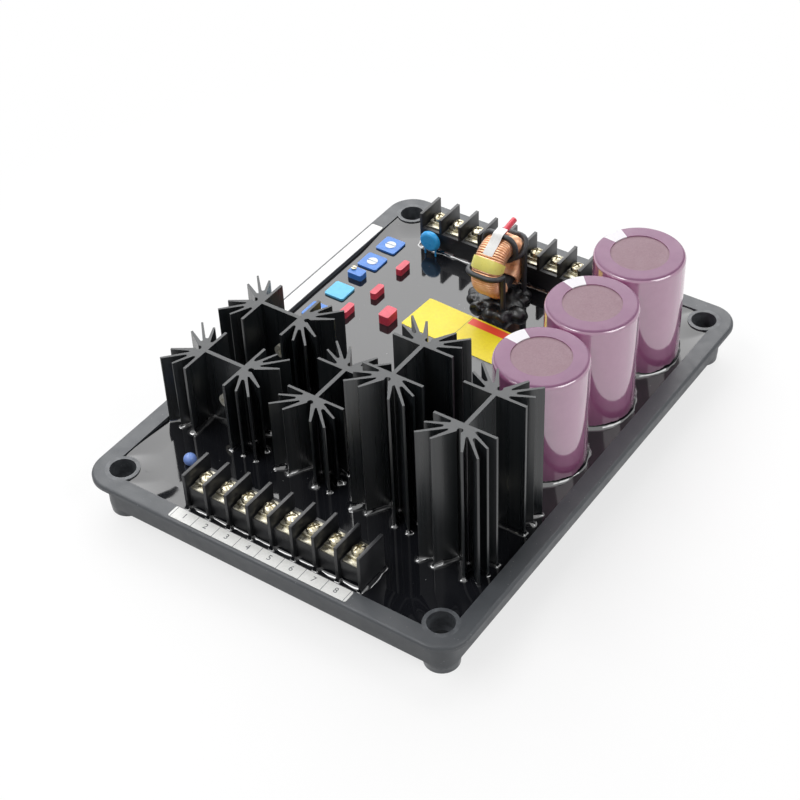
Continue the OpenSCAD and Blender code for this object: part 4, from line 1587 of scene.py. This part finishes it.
@dataclass
class RingChoke(SubAssembly):
    """Ring choke on its edge: core, wound wire, tape, an insulated lead and a mound of adhesive.

    Angles run round the ring from its foot over the far side, the top and the near side.

    Attributes:
        middle: Centre of the ring; its axis lies along X.
        outer: Outer radius of the winding.
        bore: Inner radius of the winding.
        width: Width of the winding.
        corner: Rounding of the winding's section.
        bare: Half of the angle at the foot that has no turns.
        turns: Number of turns that show.
        turn_steps: Points of one turn of the wire.
        wire_r: Radius of the wound wire.
        lead_r: Radius of the insulated lead.
        lead_turns: Places of the lead's turns round the ring, in degrees.
        lead_steps: Points of one turn of the lead.
        lead_lean: Degrees by which a turn of the lead leans either way.
        drop: Stretches of the lead between the ring and the resin.
        foot: Height of the resin.
        mound: Reach of the adhesive along X and Y, and its height.
        core: Size of the mass under the lumps, as shares of the mound.
        sunk: Depth of the adhesive below the resin.
        lumps: Number of lumps that the adhesive ran together from.
        lump_turn: How far a lump strays along its row, as a share of their spacing.
        lump_out: Distance of a lump as a share of the mound's reach, and how far it varies.
        lump_size: Radius of a lump as a share of the mound's height, and how far it varies.
        voxel: Fineness with which the lumps run together.
        rough: Height and rate per millimetre of the adhesive's unevenness.
        tag_w: Width of the paper tag.
        tag_t: Thickness of the paper tag.
        tag_path: Places of the tag from its foot up, each an angle and a radius.
    """

    middle: Triple = (-7.7, 65.8, 33.7)
    outer: float = 13.4
    bore: float = 5.4
    width: float = 12.8
    corner: float = 3.2
    bare: float = 26.0
    turns: int = 62
    turn_steps: int = 20
    wire_r: float = 0.52
    lead_r: float = 1.1
    lead_turns: tuple[float, ...] = (255.0, 176.0, 130.0)
    lead_steps: int = 36
    lead_lean: float = 3.0
    drop: int = 7
    foot: float = 16.5
    mound: Triple = (16.0, 13.0, 5.0)
    core: Triple = (0.72, 0.76, 0.85)
    sunk: float = 0.2
    lumps: int = 13
    lump_turn: float = 0.4
    lump_out: Pair = (0.74, 0.3)
    lump_size: Pair = (0.62, 0.7)
    voxel: float = 0.45
    rough: Pair = (1.5, 0.33)
    tag_w: float = 6.0
    tag_t: float = 0.14
    tag_path: tuple[Pair, ...] = (
        (222.0, 13.6),
        (210.0, 13.6),
        (198.0, 13.7),
        (190.0, 14.5),
        (183.0, 15.8),
        (176.0, 16.0),
        (168.0, 16.6),
    )

    def build(self) -> None:
        """Builds the winding, the lead, the adhesive and the tag, and dresses the rest."""
        self.seat(self.winding(), COPPER, "copper_wire", "choke_winding")
        self.seat(self.lead(), LEAD_PVC, "black_lead", "choke_lead_turns")
        self.seat(self.glue(), ADHESIVE, "adhesive", "choke_adhesive")
        self.seat(self.tag(), PAPER, "white_paper", "choke_tag")
        self.dress(FERRITE, "choke_core")
        self.dress(TAPE_FILM, "choke_tape")
        self.dress(RED_TUBE, "choke_red_sleeve")

    def place(self, angle: float, radius: float, across: float) -> Vector:
        """Turns ring coordinates into a point.

        Args:
            angle: Place round the ring in degrees.
            radius: Distance from the ring's axis.
            across: Distance from the ring's middle plane.

        Returns:
            The point in millimetres.
        """
        a = math.radians(angle)
        x, y, z = self.middle
        return Vector((x + across, y + math.sin(a) * radius, z - math.cos(a) * radius))

    def around(self, share: float, off: float) -> Pair:
        """Gives a point on the rounded section of the winding, or outside it.

        Args:
            share: Way round the section from 0 to 1, from the right side outwards.
            off: Distance from the winding's surface.

        Returns:
            Distances from the ring's axis and from its middle plane.
        """
        half_w, half_r = self.width / 2 + off, (self.outer - self.bore) / 2 + off
        r = self.corner + off
        straight = (2 * (half_r - r), 2 * (half_w - r))
        arc = math.pi / 2 * r
        total = 2 * sum(straight) + 4 * arc
        at = (share % 1.0) * total - (half_r - r)
        if at < 0:
            at += total
        # From the middle of the right side: each corner, then the side that follows it
        corners = [(1, 1), (-1, 1), (-1, -1), (1, -1)]
        for quarter, (cw, cr) in enumerate(corners):
            heading, side = 90.0 * quarter, straight[1 - quarter % 2]
            cx, cy = cw * (half_w - r), cr * (half_r - r)
            if at <= arc:
                t = math.radians(heading) + at / r
                across, radial = cx + r * math.cos(t), cy + r * math.sin(t)
                break
            at -= arc
            if at <= side:
                t = math.radians(heading + 90)
                across = cx + r * math.cos(t) + at * math.cos(t + math.pi / 2)
                radial = cy + r * math.sin(t) + at * math.sin(t + math.pi / 2)
                break
            at -= side
        return (self.outer + self.bore) / 2 + radial, across

    def winding(self) -> Thing:
        """Winds the wire as one helix round the ring.

        Returns:
            The winding.
        """
        path = []
        points = self.turns * self.turn_steps
        for i in range(points + 1):
            angle = self.bare + (360 - 2 * self.bare) * i / points
            path.append(self.place(angle, *self.around(i / self.turn_steps, -self.wire_r)))
        return wire("choke_wire", path, self.wire_r, 2)

    def lead(self) -> Thing:
        """Wraps the insulated lead round the ring, with both ends in the resin.

        Returns:
            The lead.
        """
        begin = self.around(0.0, self.lead_r)
        first, last = self.place(self.lead_turns[0], *begin), self.place(self.lead_turns[-1], *begin)
        path = []
        for i in range(self.drop):
            path.append(Vector((first.x, first.y, self.foot + (first.z - self.foot) * i / self.drop)))
        for turn, angle in enumerate(self.lead_turns):
            following = self.lead_turns[min(turn + 1, len(self.lead_turns) - 1)]
            for i in range(self.lead_steps):
                share = i / self.lead_steps
                # Moves over to the following turn in the second half of this one
                slide = eased((share - 0.5) / 0.5)
                lean = self.lead_lean * math.sin(2 * math.pi * share + turn)
                at = angle + (following - angle) * slide + lean
                path.append(self.place(at, *self.around(share, self.lead_r)))
        for i in range(self.drop + 1):
            path.append(Vector((last.x, last.y, last.z + (self.foot - last.z) * i / self.drop)))
        return wire("choke_lead", path, self.lead_r, 4)

    def tag(self) -> Thing:
        """Lays the paper tag along the ring and over the lead's top turn.

        Returns:
            The tag.
        """
        piece = added(bpy.ops.mesh.primitive_grid_add, x_subdivisions=4, y_subdivisions=30, size=1.0)
        piece.name = "choke_paper_tag"
        mesh = edit(piece)
        spans = len(self.tag_path) - 1
        for v in mesh.verts:
            at = min((v.co.y + 0.5) * spans, spans - 1e-6)
            start, end = self.tag_path[int(at)], self.tag_path[int(at) + 1]
            angle, radius = (p + (q - p) * (at % 1.0) for p, q in zip(start, end))
            v.co = self.place(angle, radius, v.co.x * self.tag_w) * MM
        bmesh.update_edit_mesh(piece.data)
        bpy.ops.mesh.vertices_smooth(factor=0.5, repeat=4)
        close_edit()
        reshape(piece, "SOLIDIFY", thickness=self.tag_t * MM)
        smooth(40.0)
        return piece

    def glue(self) -> Thing:
        """Heaps adhesive round the ring's foot, in the lumps that a nozzle leaves.

        Returns:
            Lumps run together, flat where they lie on the resin.
        """
        x, y, _ = self.middle
        reach_x, reach_y, rise = self.mound
        ball, foot = bpy.ops.mesh.primitive_ico_sphere_add, Vector((x, y, self.foot))
        made = [added(ball, subdivisions=5, radius=MM, location=foot * MM)]
        made[0].scale = [share * reach for share, reach in zip(self.core, self.mound)]
        settle()
        for i in range(self.lumps):
            stray = self.lump_turn * noise.noise(Vector((0.4, 2.9 * i, 1.1)))
            angle = 2 * math.pi * (i + stray) / self.lumps
            chance = noise.noise(Vector((1.7 * i, 4.2, 0.3)))
            out = self.lump_out[0] + self.lump_out[1] * chance
            size = rise * self.lump_size[0] * (1 + self.lump_size[1] * chance)
            spot = foot + Vector((reach_x * out * math.cos(angle), reach_y * out * math.sin(angle), 0.0))
            made.append(added(ball, subdivisions=4, radius=size * MM, location=spot * MM))
        piece = joined("choke_glue", made)
        settle()
        reshape(piece, "REMESH", mode="VOXEL", voxel_size=self.voxel * MM)
        mesh = edit(piece)
        height, rate = self.rough
        for v in mesh.verts:
            v.co += (v.co - foot * MM).normalized() * noise.noise(v.co / MM * rate) * height * MM
        bmesh.update_edit_mesh(piece.data)
        bpy.ops.mesh.vertices_smooth(factor=0.5, repeat=8)
        bpy.ops.mesh.bisect(
            plane_co=(0.0, 0.0, (self.foot - self.sunk) * MM),
            plane_no=(0.0, 0.0, 1.0),
            clear_inner=True,
            use_fill=True,
            threshold=ON_PLANE,
        )
        close_edit()
        smooth(60.0)
        return piece


@dataclass
class SmallParts(SubAssembly):
    """Trimmers and small capacitors of the adjusting corner.

    Attributes:
        trimmers: Number of single-turn trimmers.
        films: Number of film capacitors.
    """

    trimmers: int = 3
    films: int = 4

    def build(self) -> None:
        """Dresses the small parts."""
        for number in range(1, self.trimmers + 1):
            self.dress(TRIMMER_PLASTIC, f"trimmer_body_{number}")
            self.dress(ROTOR_PLASTIC, f"trimmer_rotor_{number}")
        for number in range(1, self.films + 1):
            self.dress(RED_COAT, f"film_capacitor_{number}")
        self.dress(TRIMMER_PLASTIC, "multiturn_trimmer_body")
        self.dress(SCREW_METAL, "multiturn_trimmer_screw")
        self.dress(BOX_PLASTIC, "box_capacitor")
        self.dress(SKY_COAT, "disc_capacitor")
        self.dress(BEAD_COAT, "bead_capacitor")


@dataclass
class Labels(SubAssembly):
    """Label strips on the rim and the yellow label on the resin.

    Attributes:
        ways: Number of terminals that the front strip numbers.
        pitch: Width of a cell.
        numeral: Height of a numeral.
        letter: Size of a letter for each millimetre of a numeral's height.
        ink: Half of the numerals' thickness.
        lift: Height of the numerals' middle above the label.
        turn: Turn of the yellow label in degrees.
    """

    ways: int = 8
    pitch: float = 9.5
    numeral: float = 2.5
    letter: float = 1.35
    ink: float = 0.01
    lift: float = 0.012
    turn: float = -3.0

    def build(self) -> None:
        """Dresses the labels and prints the numerals."""
        low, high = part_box("front_label")
        # Cut from coated film and printed: clean white with thin grey rules
        name, start = "polyester label, white, ruled", (low.x + high.x) / 2 / MM
        paper = {"colour": PAPER.colour, "roughness": PAPER.roughness, "other": PAPER.other, "fibre": PAPER.fibre}
        self.dress(CellLabel(name, **paper, start=start, pitch=self.pitch), "front_label")
        self.dress(PAPER, "side_label")
        near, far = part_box("face_label")
        middle = (near + far) / 2 / MM
        # Printed film: an even, strong yellow with a bare red band
        band = BandLabel(
            "polyester label, yellow with a red band",
            "#f3df1e",
            0.42,
            other="#ecd51a",
            fibre=1.2,
            centre=(middle.x, middle.y),
            turn=self.turn,
        )
        self.dress(band, "face_label")
        self.seat(self.numerals(low, high), PRINT, "white_paper")

    def numerals(self, low: Vector, high: Vector) -> Thing:
        """Prints a plain number in each cell of the front label.

        Args:
            low: Lowest corner of the label.
            high: Highest corner of the label.

        Returns:
            All numerals as one thin piece.
        """
        made = []
        for i in range(self.ways):
            text = added(bpy.ops.object.text_add)
            text.data.body = str(i + 1)
            text.data.size = self.numeral * self.letter * MM
            text.data.align_x, text.data.align_y = "CENTER", "CENTER"
            text.data.extrude = self.ink * MM
            x = (low.x + high.x) / 2 + (i + 0.5 - self.ways / 2) * self.pitch * MM
            text.location = (x, (low.y + high.y) / 2, high.z + self.lift * MM)
            bpy.ops.object.convert(target="MESH")
            settle()
            made.append(bpy.context.active_object)
        return joined("terminal_numbers", made)


@dataclass
class Studio:
    """Pale floor, soft light and the camera.

    Attributes:
        eye: Place of the camera in millimetres.
        right: Direction of the picture's right side.
        up: Direction of the picture's top.
        back: Direction from the object to the camera.
        lens: Focal length for a 36 mm sensor.
        lift: Share of plain white in the floor that the camera sees by the object, which keeps the shadow soft.
        paper: Distances from the object's middle between which the floor turns plain white, in metres.
        surround: Brightness of the white surround as a light, and as it is seen.
        softboxes: Name, place and size in metres, and brightness of each soft box, where 1 is white.
        aim: Place that the soft boxes point at, in metres.
    """

    eye: Triple = (296.24, -422.89, 463.66)
    right: Triple = (0.82496, 0.56414, -0.03441)
    up: Triple = (-0.34929, 0.55676, 0.75367)
    back: Triple = (0.44433, -0.60973, 0.65635)
    lens: float = 80.19
    lift: float = 0.7
    paper: Pair = (0.09, 0.27)
    surround: Pair = (0.1, 1.0)
    softboxes: tuple[tuple[str, Triple, Pair, float], ...] = (
        ("back_softbox", (-0.70, 0.96, 1.06), (1.9, 1.5), 2.9),
        ("front_softbox", (-0.62, -0.58, 1.23), (1.4, 0.5), 5.0),
        ("right_softbox", (1.25, 0.05, 1.0), (1.0, 0.9), 2.9),
    )
    aim: Triple = (0.0, 0.0, 0.03)

    def build(self) -> None:
        """Sets the camera, the light and the floor."""
        self.camera()
        self.world()
        for softbox in self.softboxes:
            self.softbox(*softbox)
        self.floor()
        bpy.context.scene.view_settings.view_transform = "Standard"

    def camera(self) -> None:
        """Sets the camera at the photograph's angle."""
        data = bpy.data.cameras.new("camera")
        data.lens = self.lens
        data.sensor_width = 36.0
        data.clip_start, data.clip_end = 0.01, 20.0
        camera = linked("camera", data)
        turn = Matrix((self.right, self.up, self.back)).transposed().to_4x4()
        camera.matrix_world = Matrix.Translation(Vector(self.eye) * MM) @ turn
        bpy.context.scene.camera = camera

    def world(self) -> None:
        """Makes a white surround that lights softly and shows white to the camera and in gloss."""
        world = bpy.data.worlds.new("studio")
        bpy.context.scene.world = world
        world.use_nodes = True
        tree = world.node_tree
        tree.nodes.clear()
        rays = add_node(tree, "ShaderNodeLightPath")
        seen = rays["Is Camera Ray"]
        for ray in ("Is Glossy Ray", "Is Transmission Ray"):
            seen = add_node(tree, "ShaderNodeMath", {0: seen, 1: rays[ray]}, operation="MAXIMUM")[0]
        light, white = (
            add_node(tree, "ShaderNodeBackground", {"Color": linear("#ffffff"), "Strength": strength})[0]
            for strength in self.surround
        )
        mix = add_node(tree, "ShaderNodeMixShader", {0: seen, 1: light, 2: white})[0]
        add_node(tree, "ShaderNodeOutputWorld", {"Surface": mix})

    def softbox(self, name: str, place: Triple, size: Pair, radiance: float) -> None:
        """Hangs a soft box that points at the object.

        Args:
            name: Name of the lamp.
            place: Place in metres.
            size: Width and height in metres.
            radiance: Brightness of its face, where 1 is white.
        """
        data = bpy.data.lights.new(name, "AREA")
        data.shape = "RECTANGLE"
        data.size, data.size_y = size
        data.energy = radiance * math.pi * size[0] * size[1]
        lamp = linked(name, data)
        lamp.location = place
        lamp.rotation_euler = (Vector(self.aim) - Vector(place)).to_track_quat("-Z", "Y").to_euler()

    def floor(self) -> None:
        """Lays a plain pale floor under the feet."""
        floor = added(bpy.ops.mesh.primitive_plane_add, size=8.0, location=(0.0, 0.0, 0.0))
        floor.name = "floor"
        # Rolled paper: matt white without a highlight
        made = bpy.data.materials.new("paper backdrop, white")
        made.use_nodes = True
        tree = made.node_tree
        shader = tree.nodes["Principled BSDF"]
        shader.inputs["Base Color"].default_value = linear("#fafafa")
        shader.inputs["Roughness"].default_value = 0.9
        shader.inputs["Specular IOR Level"].default_value = 0.1
        rays = add_node(tree, "ShaderNodeLightPath")
        place = add_node(tree, "ShaderNodeTexCoord")["Object"]
        reach = add_node(tree, "ShaderNodeVectorMath", {0: place}, operation="LENGTH")["Value"]
        near, far = self.paper
        plain = add_node(tree, "ShaderNodeMapRange", {0: reach, 1: near, 2: far, 3: self.lift, 4: 1.0})[0]
        share = {0: rays["Is Camera Ray"], 1: plain}
        seen = add_node(tree, "ShaderNodeMath", share, operation="MULTIPLY")[0]
        seen = add_node(tree, "ShaderNodeMath", {0: seen, 1: rays["Is Glossy Ray"]}, operation="MAXIMUM")[0]
        glow = add_node(tree, "ShaderNodeEmission", {"Color": linear("#ffffff"), "Strength": 1.0})[0]
        mix = add_node(tree, "ShaderNodeMixShader", {0: seen, 1: shader.outputs[0], 2: glow})[0]
        tree.links.new(mix, tree.nodes["Material Output"].inputs["Surface"])
        floor.data.materials.append(made)


def main() -> None:
    """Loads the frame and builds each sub-assembly."""
    logging.basicConfig(level=logging.INFO, format="%(name)s: %(message)s")
    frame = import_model()
    Studio().build()
    for part in (ResinBed, HeatSinks, TerminalStrips, LargeCapacitors, RingChoke, SmallParts, Labels):
        part(frame).build()


if __name__ == "__main__":
    main()
